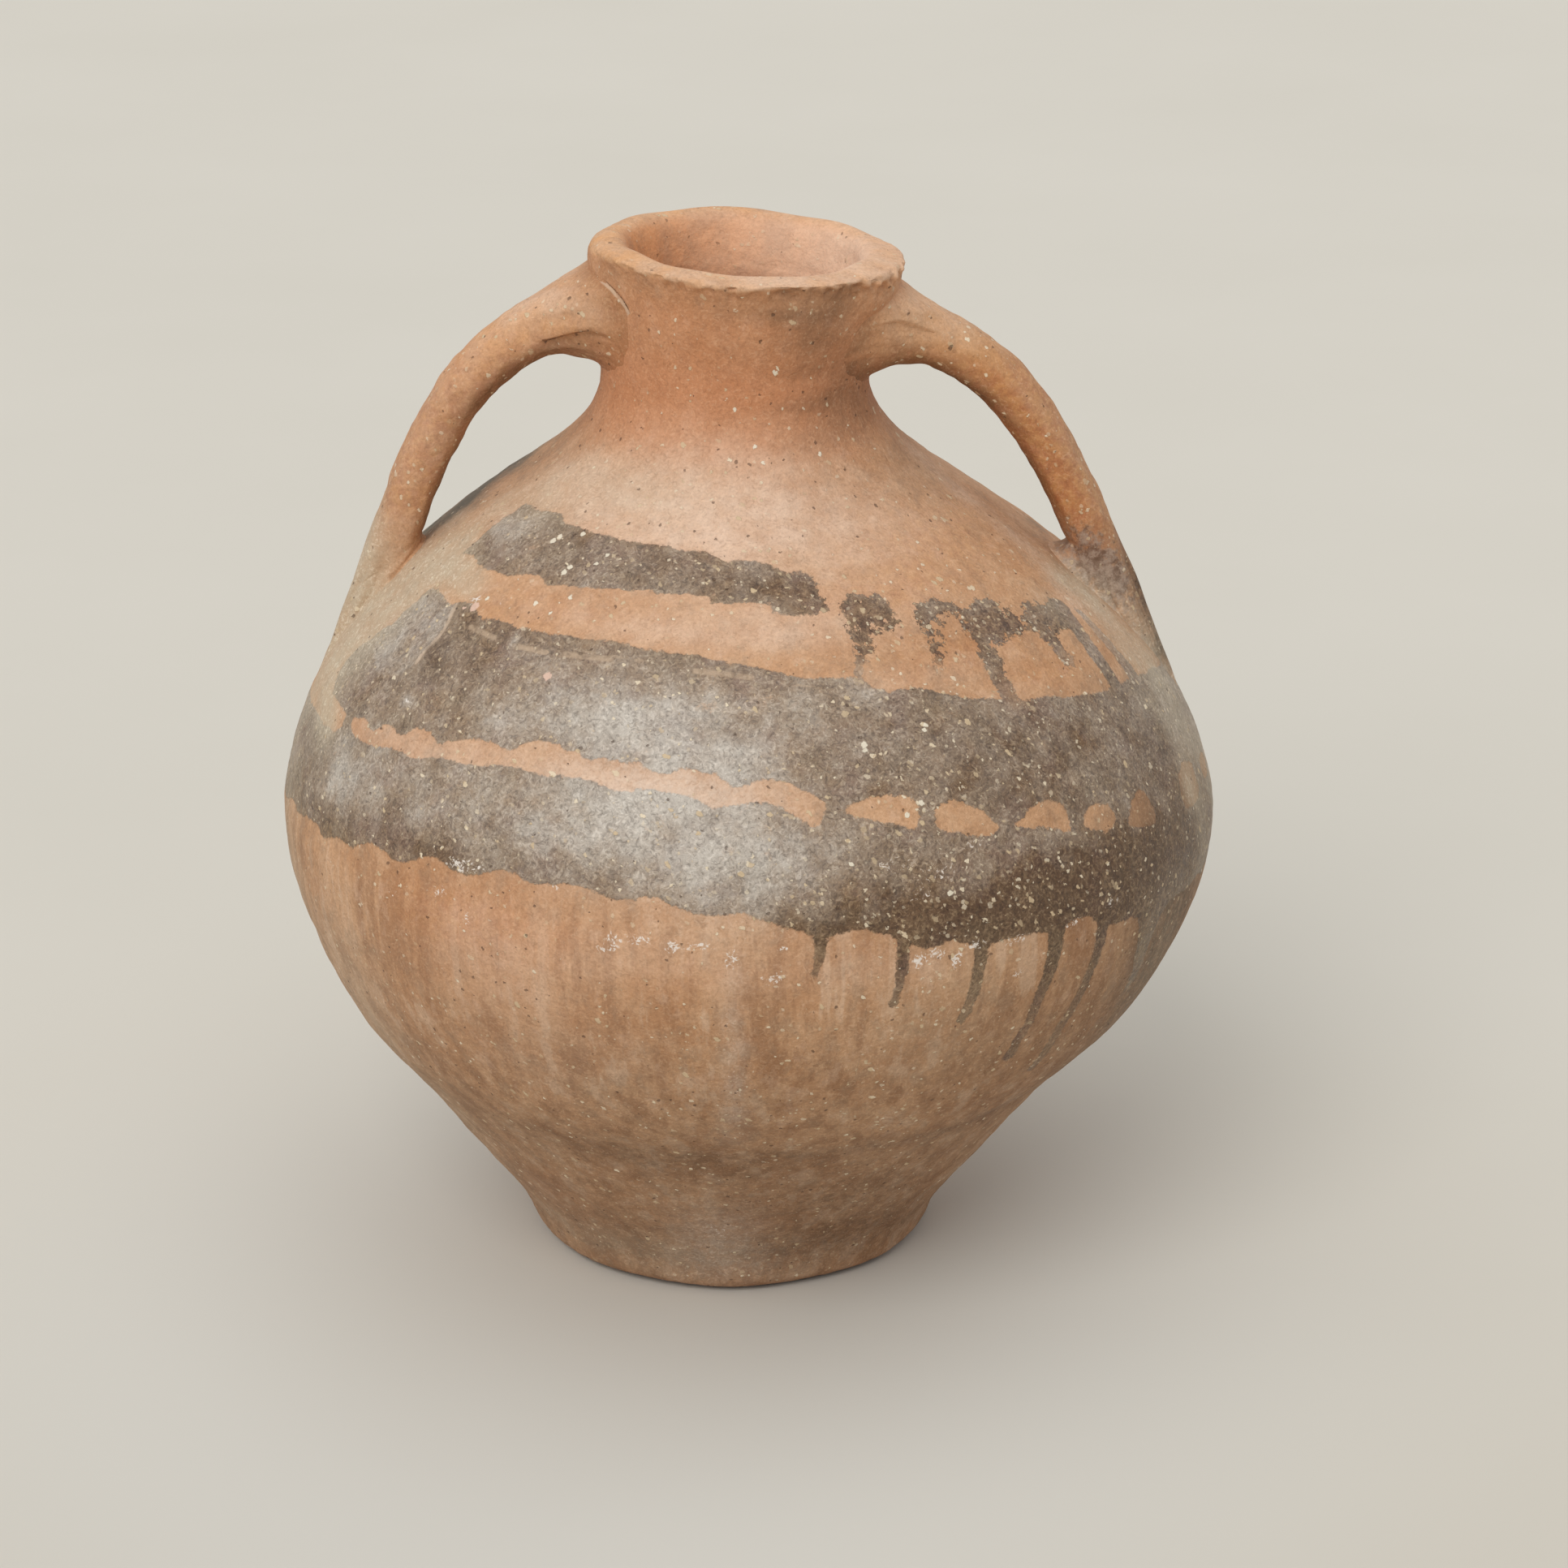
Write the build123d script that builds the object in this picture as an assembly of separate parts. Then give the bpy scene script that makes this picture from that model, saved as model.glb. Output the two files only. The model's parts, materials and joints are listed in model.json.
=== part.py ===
from build123d import *
import math
import os

# Two-handled, coil-built earthenware storage jar, in millimetres.
# Origin: centre of the base underside. +Z up, handles along -X and +X.

# ---------------------------------------------------------------- dimensions
FLOOR_T = 13.0            # thickness of the base slab
WALL_FOOT = 13.0          # wall thickness at the foot
WALL_BELLY = 9.5          # wall thickness from the belly up
MOUTH_R = 46.0            # bore of the neck
MOUTH_X = 3.5             # the neck stands a little off the centre of the base
MOUTH_Z0 = 374.0          # lower end of the neck's bore
MOUTH_Z1 = 419.0          # the lip starts to open just above this height
LIP_INNER_R = 51.2        # opening at the top of the lip, clear of the bore all round
LIP_TOP = 440.0           # crest of the lip on its own axis
LIP_TILT = 3.8            # degrees, high on the left and low on the right
LIP_X = 7.4               # centre of the lip
TENON = 5.0               # how far the handle ends are let into the wall
BASE_BEVEL_R0 = 75.0      # inner edge of the bevel on the base slab
BASE_BEVEL_R1 = 96.0      # the bevel's line carried out past the wall
BASE_BEVEL_Z1 = 4.0
SEAM_COIL_R = 8.0         # section radius of the coil in the inside corner

# outer surface: height, radius, sideways offset of the circle's centre, tilt
OUTER = [
    (0.0, 84.6, 0.0, 0.0),
    (3.0, 86.9, 0.0, 0.0),
    (10.0, 89.5, -0.3, 0.0),
    (20.0, 94.3, -0.4, 0.0),
    (30.0, 100.6, -0.3, 0.0),
    (45.0, 112.4, -0.1, 0.0),
    (60.0, 123.9, 0.4, 0.0),
    (75.0, 135.4, 1.3, 0.0),
    (90.0, 147.8, 2.2, 0.0),
    (105.0, 161.6, 3.2, 0.0),
    (120.0, 173.2, 4.8, 0.0),
    (140.0, 184.2, 6.3, 0.0),
    (160.0, 192.5, 7.6, 0.0),
    (180.0, 197.8, 8.1, 0.0),
    (200.0, 199.0, 7.8, 0.0),
    (220.0, 195.4, 6.6, 0.0),
    (240.0, 188.0, 5.6, 0.0),
    (260.0, 177.6, 4.7, 0.0),
    (280.0, 163.0, 3.6, 0.0),
    (300.0, 143.2, 2.4, 0.0),
    (315.0, 125.7, 1.2, 0.0),
    (330.0, 105.3, 0.2, 0.0),
    (340.0, 91.1, 0.3, 0.0),
    (350.0, 77.9, 0.6, 0.0),
    (360.0, 67.3, 1.0, 0.0),
    (370.0, 59.9, 1.6, 0.0),
    (380.0, 56.3, 2.2, 0.0),
    (392.0, 56.2, 2.9, 0.6),
    (405.0, 57.4, 4.0, 1.8),
    (415.0, 59.4, 5.2, 2.8),
    (423.0, 62.2, 6.2, 3.5),
    (429.0, 64.1, 6.9, 3.8),
    (434.0, 63.9, 7.3, 3.8),
    (437.6, 61.6, 7.4, 3.8),
    (439.4, 58.4, 7.4, 3.8),
    (440.0, 55.4, 7.4, 3.8),
]

# luted joints between the bands: name above the joint, height of the joint at
# radius, that radius, and the slope of the bevel (rise per unit of radius)
JOINTS = [
    ("foot_wall", None, None, None),
    ("lower_wall", 42.0, 104.0, -0.15),
    ("lower_belly", 109.0, 160.0, -0.20),
    ("belly_band", 158.0, 186.0, -0.60),
    ("upper_belly", 208.0, 193.0, -0.55),
    ("shoulder_band", 252.0, 178.0, -0.25),
    ("upper_shoulder", 318.0, 114.0, 0.15),
    ("neck", 369.0, 55.0, 0.45),
    ("rim_lip", 419.0, 55.0, -0.35),
]

# handle centre lines in the XZ plane: x, z, thickness in the plane, width
LEFT_HANDLE = [
    (-42.0, 408.5, 30.0, 37.0),
    (-52.0, 408.6, 29.5, 36.0),
    (-62.0, 408.2, 28.5, 34.0),
    (-73.8, 405.8, 26.5, 31.0),
    (-88.6, 398.6, 24.2, 29.0),
    (-102.7, 387.2, 22.4, 28.0),
    (-113.7, 373.9, 21.2, 27.5),
    (-122.6, 359.2, 20.6, 27.5),
    (-129.6, 344.6, 20.6, 27.5),
    (-135.7, 329.6, 20.8, 27.5),
    (-141.6, 314.8, 20.8, 28.0),
    (-148.0, 300.3, 20.4, 28.5),
    (-154.4, 287.0, 19.4, 29.0),
    (-160.6, 274.0, 17.6, 28.0),
    (-165.8, 262.0, 15.0, 25.0),
    (-170.3, 251.0, 11.0, 21.0),
    (-172.6, 240.0, 7.0, 17.0),
]
RIGHT_HANDLE = [
    (48.0, 399.6, 31.0, 37.0),
    (58.0, 401.4, 30.0, 36.0),
    (68.0, 402.2, 29.0, 34.0),
    (79.2, 401.1, 26.6, 31.0),
    (93.4, 395.3, 24.0, 29.0),
    (108.1, 385.4, 22.6, 28.0),
    (121.0, 372.3, 21.6, 27.5),
    (131.0, 357.9, 21.0, 27.5),
    (139.0, 343.3, 20.7, 27.5),
    (146.0, 328.6, 20.5, 27.5),
    (152.7, 313.9, 20.3, 28.0),
    (159.6, 300.0, 19.8, 28.5),
    (165.4, 287.0, 18.8, 29.0),
    (170.6, 274.5, 17.0, 28.0),
    (175.2, 262.5, 14.6, 25.0),
    (179.6, 251.5, 11.0, 21.0),
    (182.0, 241.0, 7.0, 17.0),
]

# wads of clay smeared round the handle ends: place along the handle's list,
# extra half thickness in the plane and extra half width
UPPER_FLARE = [(0, 13.0, 27.0), (1, 10.0, 21.0), (2, 6.6, 12.5), (3, 3.4, 5.0), (4, 1.8, 1.8)]
LOWER_FLARE = [(10, 1.8, 1.8), (11, 3.0, 4.0), (12, 4.2, 7.5), (13, 4.8, 10.0), (14, 4.4, 10.0),
               (15, 2.8, 8.0), (16, 1.6, 6.0)]

R_FAR = 260.0             # well outside the jar
NECK_FAR = 90.0           # well outside the neck and the lip


# ---------------------------------------------------------------- helpers
def circle_at(z, r, cx, tilt):
    a = math.radians(tilt)
    plane = Plane(origin=(cx, 0, z), x_dir=(math.cos(a), 0, -math.sin(a)),
                  z_dir=(math.sin(a), 0, math.cos(a)))
    return plane * Circle(r)


def column(rows):
    return loft([circle_at(*row) for row in rows])


def wall_at(z):
    if z < 60:
        return WALL_FOOT + (WALL_BELLY + 1.5 - WALL_FOOT) * z / 60
    if z < 150:
        return WALL_BELLY + 1.5 - 1.5 * (z - 60) / 90
    return WALL_BELLY


def inset(rows, thick, z_low, z_high):
    """Rows moved inwards along the profile's normal, kept between two heights."""
    moved = []
    for i, (z, r, cx, tilt) in enumerate(rows):
        a, b = rows[max(i - 1, 0)], rows[min(i + 1, len(rows) - 1)]
        dz, dr = b[0] - a[0], b[1] - a[1]
        n = math.hypot(dz, dr)
        t = thick(z)
        moved.append((z + t * dr / n, r - t * dz / n, cx))
    moved.sort()
    keep = []
    for z, r, cx in moved:
        if z_low + 4 < z < z_high - 4 and (not keep or z > keep[-1][0] + 5):
            keep.append((z, r, cx))
    return moved, keep


def radius_at(points, z):
    for (z0, r0, c0), (z1, r1, c1) in zip(points, points[1:]):
        if z0 <= z <= z1:
            k = (z - z0) / (z1 - z0)
            return r0 + k * (r1 - r0), c0 + k * (c1 - c0)
    raise ValueError(z)


def band_region(low, high, far=R_FAR):
    """Solid of revolution between two joint cones."""
    def at(joint, r):
        _, z, r0, slope = joint
        return z + slope * (r - r0)
    pts = [(0, at(low, 0)), (far, at(low, far)), (far, at(high, far)), (0, at(high, 0))]
    face = Plane.XZ * make_face(Polyline(*pts, close=True))
    return revolve(face, Axis.Z)


def handle_section(points, i, extra_t=0.0, extra_w=0.0):
    x, z, t, w = points[i]
    a, b = points[max(i - 1, 0)], points[min(i + 1, len(points) - 1)]
    dx, dz = b[0] - a[0], b[1] - a[1]
    n = math.hypot(dx, dz)
    plane = Plane(origin=(x, 0, z), x_dir=(0, 1, 0), z_dir=(dx / n, 0, dz / n))
    return plane * Ellipse(w / 2 + extra_w, t / 2 + extra_t)


def handle_bar(points):
    return loft([handle_section(points, i) for i in range(len(points))])


def flare(points, steps):
    return loft([handle_section(points, i, et, ew) for i, et, ew in steps])


def one(shape):
    """The largest solid of a shape, as a plain solid."""
    return max(shape.solids(), key=lambda s: s.volume)


# ---------------------------------------------------------------- the shell
outer = column(OUTER)

moved, kept = inset([row for row in OUTER if row[0] <= 372], wall_at, FLOOR_T, MOUTH_Z0)
floor_r, floor_c = radius_at(moved, FLOOR_T)
cavity_rows = [(FLOOR_T, floor_r, floor_c, 0.0)]
cavity_rows += [(z, r, cx, 0.0) for z, r, cx in kept if r > MOUTH_R + 3]
cavity_rows.append((MOUTH_Z0, MOUTH_R, MOUTH_X, 0.0))
cavity = column(cavity_rows)
# the bore runs straight out through the lip, which opens wider around it
bore = Pos(MOUTH_X, 0, MOUTH_Z0) * Cylinder(
    MOUTH_R, LIP_TOP + 12 - MOUTH_Z0, align=(Align.CENTER, Align.CENTER, Align.MIN))
lip_opening = column([
    (MOUTH_Z1 - 3, MOUTH_R - 2, MOUTH_X, 0.0),
    (427.0, MOUTH_R + 1.9, 4.8, 2.0),
    (433.5, MOUTH_R + 3.6, 6.2, LIP_TILT),
    (437.6, LIP_INNER_R, LIP_X, LIP_TILT),
    (439.6, LIP_INNER_R + 2.2, LIP_X, LIP_TILT),
    (441.0, LIP_INNER_R + 4.4, LIP_X, LIP_TILT),
])
hollow = cavity + bore + lip_opening
shell = outer - hollow

# tenon envelope: the wall's outer surface moved in by the tenon depth
tenon_core = column([(z, r - TENON * 1.25, cx, tilt) for z, r, cx, tilt in OUTER if z < 436])

# ---------------------------------------------------------------- bands
base_face = Plane.XZ * make_face(Polyline(
    (0, -5), (BASE_BEVEL_R1, -5), (BASE_BEVEL_R1, BASE_BEVEL_Z1),
    (BASE_BEVEL_R0, FLOOR_T), (0, FLOOR_T), close=True))
base_region = revolve(base_face, Axis.Z)

nodes = {}
nodes["base_disc"] = one(shell & base_region)

foot_top = JOINTS[1]
foot_region = band_region(("", -10.0, 0.0, 0.0), foot_top) - base_region
nodes["foot_wall"] = one(shell & foot_region)
for low, high in zip(JOINTS[1:], JOINTS[2:] + [("", 460.0, 0.0, 0.0)]):
    far = NECK_FAR if low[0] in ("neck", "rim_lip") else R_FAR
    nodes[low[0]] = one(shell & band_region(low, high, far))

coil_ring = Pos(floor_c, 0, FLOOR_T + 2.0) * Torus(floor_r + 0.5, SEAM_COIL_R)
nodes["base_seam_coil"] = one(coil_ring & cavity)

# ---------------------------------------------------------------- handles
for side, points in (("left", LEFT_HANDLE), ("right", RIGHT_HANDLE)):
    bar = one(handle_bar(points) - tenon_core - nodes["rim_lip"])
    for name in ("neck", "upper_shoulder", "shoulder_band", "upper_belly"):
        nodes[name] = one(nodes[name] - bar)
    nodes[side + "_handle"] = bar
    nodes[side + "_upper_luting"] = one(flare(points, UPPER_FLARE) - outer - bar)
    nodes[side + "_lower_luting"] = one(flare(points, LOWER_FLARE) - outer - bar)

os.makedirs("parts", exist_ok=True)
for name, shape in nodes.items():
    export_step(shape, f"parts/{name}.step")
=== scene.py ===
import bpy
import json
import math
import numpy as np
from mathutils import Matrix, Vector

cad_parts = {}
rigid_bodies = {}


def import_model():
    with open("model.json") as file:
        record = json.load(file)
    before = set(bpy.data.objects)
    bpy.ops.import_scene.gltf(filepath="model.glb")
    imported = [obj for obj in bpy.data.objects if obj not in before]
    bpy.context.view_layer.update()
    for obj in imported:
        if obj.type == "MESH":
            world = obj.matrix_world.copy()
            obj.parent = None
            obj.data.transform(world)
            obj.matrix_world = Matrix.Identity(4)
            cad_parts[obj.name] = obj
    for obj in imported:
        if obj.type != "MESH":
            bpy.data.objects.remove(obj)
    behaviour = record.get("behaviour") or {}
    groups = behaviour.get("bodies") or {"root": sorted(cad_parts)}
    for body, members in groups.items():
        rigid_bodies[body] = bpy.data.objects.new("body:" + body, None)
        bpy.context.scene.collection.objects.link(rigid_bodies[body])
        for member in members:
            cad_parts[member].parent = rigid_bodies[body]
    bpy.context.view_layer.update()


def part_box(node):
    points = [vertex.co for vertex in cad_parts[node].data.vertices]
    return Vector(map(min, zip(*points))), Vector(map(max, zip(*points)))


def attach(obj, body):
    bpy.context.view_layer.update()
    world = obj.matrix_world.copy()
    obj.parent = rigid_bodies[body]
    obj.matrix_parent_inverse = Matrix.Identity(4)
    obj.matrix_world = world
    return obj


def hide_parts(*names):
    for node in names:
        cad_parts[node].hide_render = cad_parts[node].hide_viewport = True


# Two-handled earthenware storage jar: one closed mesh for each clay piece,
# procedural clay and slip finishes, a plain floor, soft light and a camera.
# Lengths in this script are millimetres until a mesh is written.

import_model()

MM = 0.001
COLUMNS = 768
scene = bpy.context.scene


# ------------------------------------------------------------------ numbers
def spline(t, y):
    """Natural cubic spline through (t, y)."""
    t = np.asarray(t, float)
    y = np.asarray(y, float)
    n = len(t)
    h = np.diff(t)
    a = np.zeros((n, n))
    b = np.zeros(n)
    a[0, 0] = a[-1, -1] = 1.0
    for i in range(1, n - 1):
        a[i, i - 1] = h[i - 1]
        a[i, i] = 2 * (h[i - 1] + h[i])
        a[i, i + 1] = h[i]
        b[i] = 6 * ((y[i + 1] - y[i]) / h[i] - (y[i] - y[i - 1]) / h[i - 1])
    m = np.linalg.solve(a, b)

    def at(x):
        x = np.clip(np.asarray(x, float), t[0], t[-1])
        i = np.clip(np.searchsorted(t, x) - 1, 0, n - 2)
        hi = h[i]
        p = (t[i + 1] - x) / hi
        q = (x - t[i]) / hi
        return (p * y[i] + q * y[i + 1]
                + ((p ** 3 - p) * m[i] + (q ** 3 - q) * m[i + 1]) * hi * hi / 6)

    return at


def smooth(lo, hi, x):
    k = np.clip((np.asarray(x, float) - lo) / (hi - lo), 0, 1)
    return k * k * (3 - 2 * k)


def unit(v):
    return v / np.maximum(np.linalg.norm(v, axis=-1, keepdims=True), 1e-9)


def waves(seed, count, turns, length):
    """Sum of seeded waves over (angle in degrees, distance in mm), about -1 to 1."""
    rng = np.random.default_rng(seed)
    k = rng.integers(turns[0], turns[1] + 1, count)
    w = 2 * np.pi / rng.uniform(length[0], length[1], count) * rng.choice([-1, 1], count)
    ph = rng.uniform(0, 2 * np.pi, count)
    amp = rng.uniform(0.5, 1.0, count)
    amp /= np.sqrt((amp ** 2).sum())

    def at(th, s):
        a = np.radians(th)
        total = 0.0
        for i in range(count):
            total = total + amp[i] * np.cos(k[i] * a + w[i] * s + ph[i])
        return total

    return at


# ------------------------------------------------------------------ profile
# height, radius, sideways offset of the circle's centre, tilt in degrees
BODY = [
    (0, 84.6, 0, 0), (3, 86.9, 0, 0), (10, 89.5, -.3, 0), (20, 94.3, -.4, 0),
    (30, 100.6, -.3, 0), (45, 112.4, -.1, 0), (60, 123.9, .4, 0), (75, 135.4, 1.3, 0),
    (90, 147.8, 2.2, 0), (105, 161.6, 3.2, 0), (120, 173.2, 4.8, 0), (140, 184.2, 6.3, 0),
    (160, 192.5, 7.6, 0), (180, 197.8, 8.1, 0), (200, 199, 7.8, 0), (220, 195.4, 6.6, 0),
    (240, 188, 5.6, 0), (260, 177.6, 4.7, 0), (280, 163, 3.6, 0), (300, 143.2, 2.4, 0),
    (315, 125.7, 1.2, 0), (330, 105.3, .2, 0), (340, 91.1, .3, 0), (350, 77.9, .6, 0),
    (360, 67.3, 1, 0), (370, 59.9, 1.6, 0), (380, 56.3, 2.2, 0), (392, 56.2, 2.9, .6),
    (405, 57.4, 4, 1.8), (415, 59.4, 5.2, 2.8), (423, 62.2, 6.2, 3.5), (429, 64.1, 6.9, 3.8),
    (434, 63.9, 7.3, 3.8), (440, 55.4, 7.4, 3.8),
]
_b = np.array(BODY, float)
RADIUS = spline(_b[:, 0], _b[:, 1])
CENTRE = spline(_b[:, 0], _b[:, 2])
TILT = spline(_b[:, 0], _b[:, 3])
_z = np.linspace(0, 430, 4301)
_s = np.concatenate([[0], np.cumsum(np.hypot(np.diff(_z), np.diff(RADIUS(_z))))])


def along(z):
    """Distance along the outer profile at a height."""
    return np.interp(z, _z, _s)


def place(r, z, th):
    """Point at radius r and height z, at an angle in degrees from the front, right positive."""
    a = np.radians(th)
    t = np.radians(TILT(z))
    return np.stack(np.broadcast_arrays(
        CENTRE(z) + r * np.sin(a) * np.cos(t), -r * np.cos(a), z - r * np.sin(a) * np.sin(t)), -1)


LIP_ROUND = [(62.2, 422.5), (64.7, 428), (65.2, 432.2), (64.2, 436), (61.4, 438.7), (57.6, 440),
             (54.2, 439.8), (51.4, 438.2), (49.6, 435.2), (48.2, 430.5), (46.9, 424.5), (46, 417)]
LIP_SHARP = [(60.2, 421.5), (61.0, 427.5), (62.6, 433.0), (64.7, 437.0), (64.0, 438.7), (60.0, 439.5),
             (55.4, 440.1), (52.0, 439.1), (49.8, 435.8), (48.2, 430.5), (46.9, 424.5), (46, 417)]
LIP_RIGHT = [(62.2, 422.0), (64.0, 427.8), (64.6, 432.6), (65.4, 436.4), (64.2, 438.4), (60.2, 439.3),
             (54.2, 440.2), (50.2, 439.4), (47.7, 436.0), (46.8, 430.5), (46.3, 424.5), (46, 417)]


def wall_at(z):
    return np.interp(z, [0, 60, 150, 440], [13, 11, 9.5, 9.5])


def profile_points(lip):
    pts = [(0, 1.2), (30, 1.0), (60, .5), (74, .05), (78.6, 0), (83.2, 1.9), (86.6, 4.3)]
    pts += [(r, z) for z, r, _, _ in BODY if 9 < z <= 415]
    pts += lip
    pts += [(45.8, 408), (45.8, 398), (46, 388), (46.8, 379.5)]
    for z in (370, 360, 350, 340, 330, 315, 300, 280, 260, 240, 220, 200, 180, 160, 140, 120,
              105, 90, 75, 60, 45, 30, 18):
        slope = float(RADIUS(z + .5) - RADIUS(z - .5))
        n = math.hypot(1, slope)
        w = float(wall_at(z))
        pts.append((float(RADIUS(z)) - w / n, z + w * slope / n))
    pts += [(77.5, 15.2), (72, 13.3), (60, 13), (30, 13), (0, 13)]
    return np.array(pts, float)


round_pts = profile_points(LIP_ROUND)
sharp_pts = profile_points(LIP_SHARP)
right_pts = profile_points(LIP_RIGHT)
chord = np.concatenate([[0], np.cumsum(np.hypot(*np.diff(round_pts, axis=0).T))])
fine = np.arange(0, chord[-1], 0.1)
fine_round = np.stack([spline(chord, round_pts[:, 0])(fine), spline(chord, round_pts[:, 1])(fine)], 1)
fine_sharp = np.stack([spline(chord, sharp_pts[:, 0])(fine), spline(chord, sharp_pts[:, 1])(fine)], 1)
fine_right = np.stack([spline(chord, right_pts[:, 0])(fine), spline(chord, right_pts[:, 1])(fine)], 1)
first_lip = 7 + sum(1 for b in BODY if 9 < b[0] <= 415)
t_edge, t_lip0, t_lip1 = chord[4], chord[first_lip], chord[first_lip + len(LIP_ROUND) - 1]


def step_at(t):
    r, z = fine_round[min(int(t / 0.1), len(fine) - 1)]
    if t < t_edge - 3:
        return 5.0
    if t < t_edge + 14:
        return 1.0
    if t < t_lip0 - 14:
        return 1.6
    if t < t_lip1:
        return 0.85
    if z > 345:
        return 2.0
    return 7.0


picks = [0.0]
while picks[-1] + step_at(picks[-1]) < fine[-1] - 4:
    picks.append(picks[-1] + step_at(picks[-1]))
picks.append(float(fine[-1]))
index = np.minimum((np.array(picks) / 0.1).round().astype(int), len(fine) - 1)
row_t = fine[index]
row_a = fine_round[index]
row_b = fine_sharp[index]
row_c = fine_right[index]
row_a[:, 1] = np.maximum(row_a[:, 1], 0)
row_b[:, 1] = np.maximum(row_b[:, 1], 0)
row_c[:, 1] = np.maximum(row_c[:, 1], 0)
row_a[0, 0] = row_b[0, 0] = row_c[0, 0] = row_a[-1, 0] = row_b[-1, 0] = row_c[-1, 0] = 0.0
t_top = row_t[np.argmax(row_a[:, 1])]
is_outer = (row_t > t_edge) & (row_t <= t_top)
is_lip = (row_t > t_lip0 - 2) & (row_t < t_lip1)
ROWS = len(row_t)

# ------------------------------------------------------------------ relief
lumps = waves(11, 26, (1, 9), (70, 190))
coils = waves(12, 18, (0, 3), (16, 34))
wiping = waves(13, 44, (2, 26), (2.6, 7.5))
dimples = waves(14, 60, (14, 60), (14, 40))
rim_wave = waves(15, 12, (2, 11), (300, 900))
rim_fine = waves(16, 40, (14, 70), (3.5, 9))

DENTS = [  # angle, height, half width, half height, depth
    (7, 353, 3.5, 3.0, 0.8), (-38, 205, 9, 5, 0.35), (23, 160, 14, 8, 0.4), (-20, 120, 18, 7, 0.5),
    (48, 95, 12, 6, 0.5), (-52, 70, 12, 8, 0.5), (12, 48, 16, 5, 0.4), (150, 240, 16, 10, 0.6),
    (-140, 180, 20, 9, 0.5), (-8, 372, 9, 4, 0.5), (26, 396, 7, 3, 0.5),
]


def delta(th, th0):
    return (th - th0 + 180) % 360 - 180


def relief(th, z):
    """Unevenness of the outer wall along its normal."""
    s = along(z)
    d = 0.38 * lumps(th, s) + 0.16 * coils(th, s) + 0.05 * wiping(th, s) + 0.07 * dimples(th, s)
    for t0, z0, w, h, depth in DENTS:
        x = np.radians(delta(th, t0)) * RADIUS(z0)
        y = s - along(z0)
        d = d - depth * np.exp(-(x / w) ** 2 - (y / h) ** 2)
    return d


def outer_point(th, z, sink=0.0):
    """Point on the finished outer wall, sunk by some millimetres."""
    slope = (RADIUS(z + .5) - RADIUS(z - .5))
    n = np.hypot(1, slope)
    d = relief(th, z) - sink
    return place(RADIUS(z) + d / n, z - d * slope / n, th)


LIP_CHIPS = [  # angle, half width in degrees, depth, place along the lip from its outer edge
    (17, 4.5, 2.2, -1.5), (-5, 1.6, 1.9, 1.0), (11, 2.0, 1.1, -2), (45, 3.5, 1.6, -1), (54, 2.5, 2.0, 2.0),
    (26, 2.2, 1.3, .5), (32, 1.4, 1.0, 0), (-14, 2.4, .9, .5), (-24, 1.5, .9, 0), (75, 3.0, 1.8, 1), (84, 2.2, 1.5, 0),
    (60, 3.2, 1.9, -2.5), (66, 2.2, 1.3, 2.0), (38, 1.8, 1.0, 0), (-33, 1.6, .8, 0), (-47, 2.4, .7, 1),
    (-72, 3, .8, 1), (112, 3, 1.2, 1), (141, 2, 1.4, 0), (168, 4, .9, 2), (-150, 2.6, 1.2, 0), (-118, 2, 1, 1),
]

angles = -180 + 360 * np.arange(COLUMNS) / COLUMNS
TH = np.broadcast_to(angles, (ROWS, COLUMNS))
sharp = (smooth(-86, -46, angles) * (1 - smooth(40, 60, angles)))[None, :, None]
right = (smooth(40, 60, angles) * (1 - smooth(96, 130, angles)))[None, :, None]
RZ = row_a[:, None, :] * (1 - sharp - right) + row_b[:, None, :] * sharp + row_c[:, None, :] * right
ZP = RZ[..., 1]
tangent = np.gradient(RZ, axis=0)
tangent[..., 0] += 1e-9
tangent = unit(tangent)
normal2 = np.stack([tangent[..., 1], -tangent[..., 0]], -1)

bump = np.zeros((ROWS, COLUMNS))
lip_fade = smooth(t_lip0 - 6, t_lip0 + 2, row_t)[:, None]
bump += np.where(is_outer[:, None], relief(TH, np.minimum(ZP, 428)) * (1 - lip_fade)
                 * smooth(t_edge, t_edge + 8, row_t)[:, None], 0)
edge_t = t_lip0 + (chord[first_lip + 3] - chord[first_lip]) * 0.9
lip_mask = (lip_fade * (1 - smooth(t_lip1 - 4, t_lip1 + 10, row_t)[:, None]))
rough_side = 1 + 1.3 * np.exp(-(delta(TH, 57) / 16) ** 2)
near_edge = np.exp(-((row_t[:, None] - edge_t) / 5.0) ** 2)
bump += lip_mask * (0.55 * rim_wave(TH, row_t[:, None]) + 0.30 * rough_side * rim_fine(TH, row_t[:, None]) * near_edge * (.35 + .65 * (sharp + right)[..., 0]))
for t0, w, depth, off in LIP_CHIPS:
    g = np.exp(-(delta(TH, t0) / w) ** 4 - ((row_t[:, None] - edge_t - off) / 3.4) ** 2)
    bump -= depth * g * (1 + 0.35 * rim_fine(TH + 7, row_t[:, None] * 1.7))
inner_part = smooth(t_lip1 - 6, t_lip1 + 6, row_t)[:, None] * (row_t < chord[-1] - 100)[:, None]
inner_wave = waves(17, 30, (1, 12), (30, 90))
inner_ring = waves(18, 16, (0, 3), (7, 14))
bump += inner_part * (0.45 * inner_wave(TH, row_t[:, None]) + 0.3 * inner_ring(TH, row_t[:, None]))
# small chips round the foot's edge
rng = np.random.default_rng(21)
for i in range(34):
    t0, w, depth = rng.uniform(-180, 180), rng.uniform(.7, 2.6), rng.uniform(.3, 1.1)
    g = np.exp(-(delta(TH, t0) / w) ** 4 - ((row_t[:, None] - t_edge - 2.4) / 2.2) ** 2)
    bump -= depth * g

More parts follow.
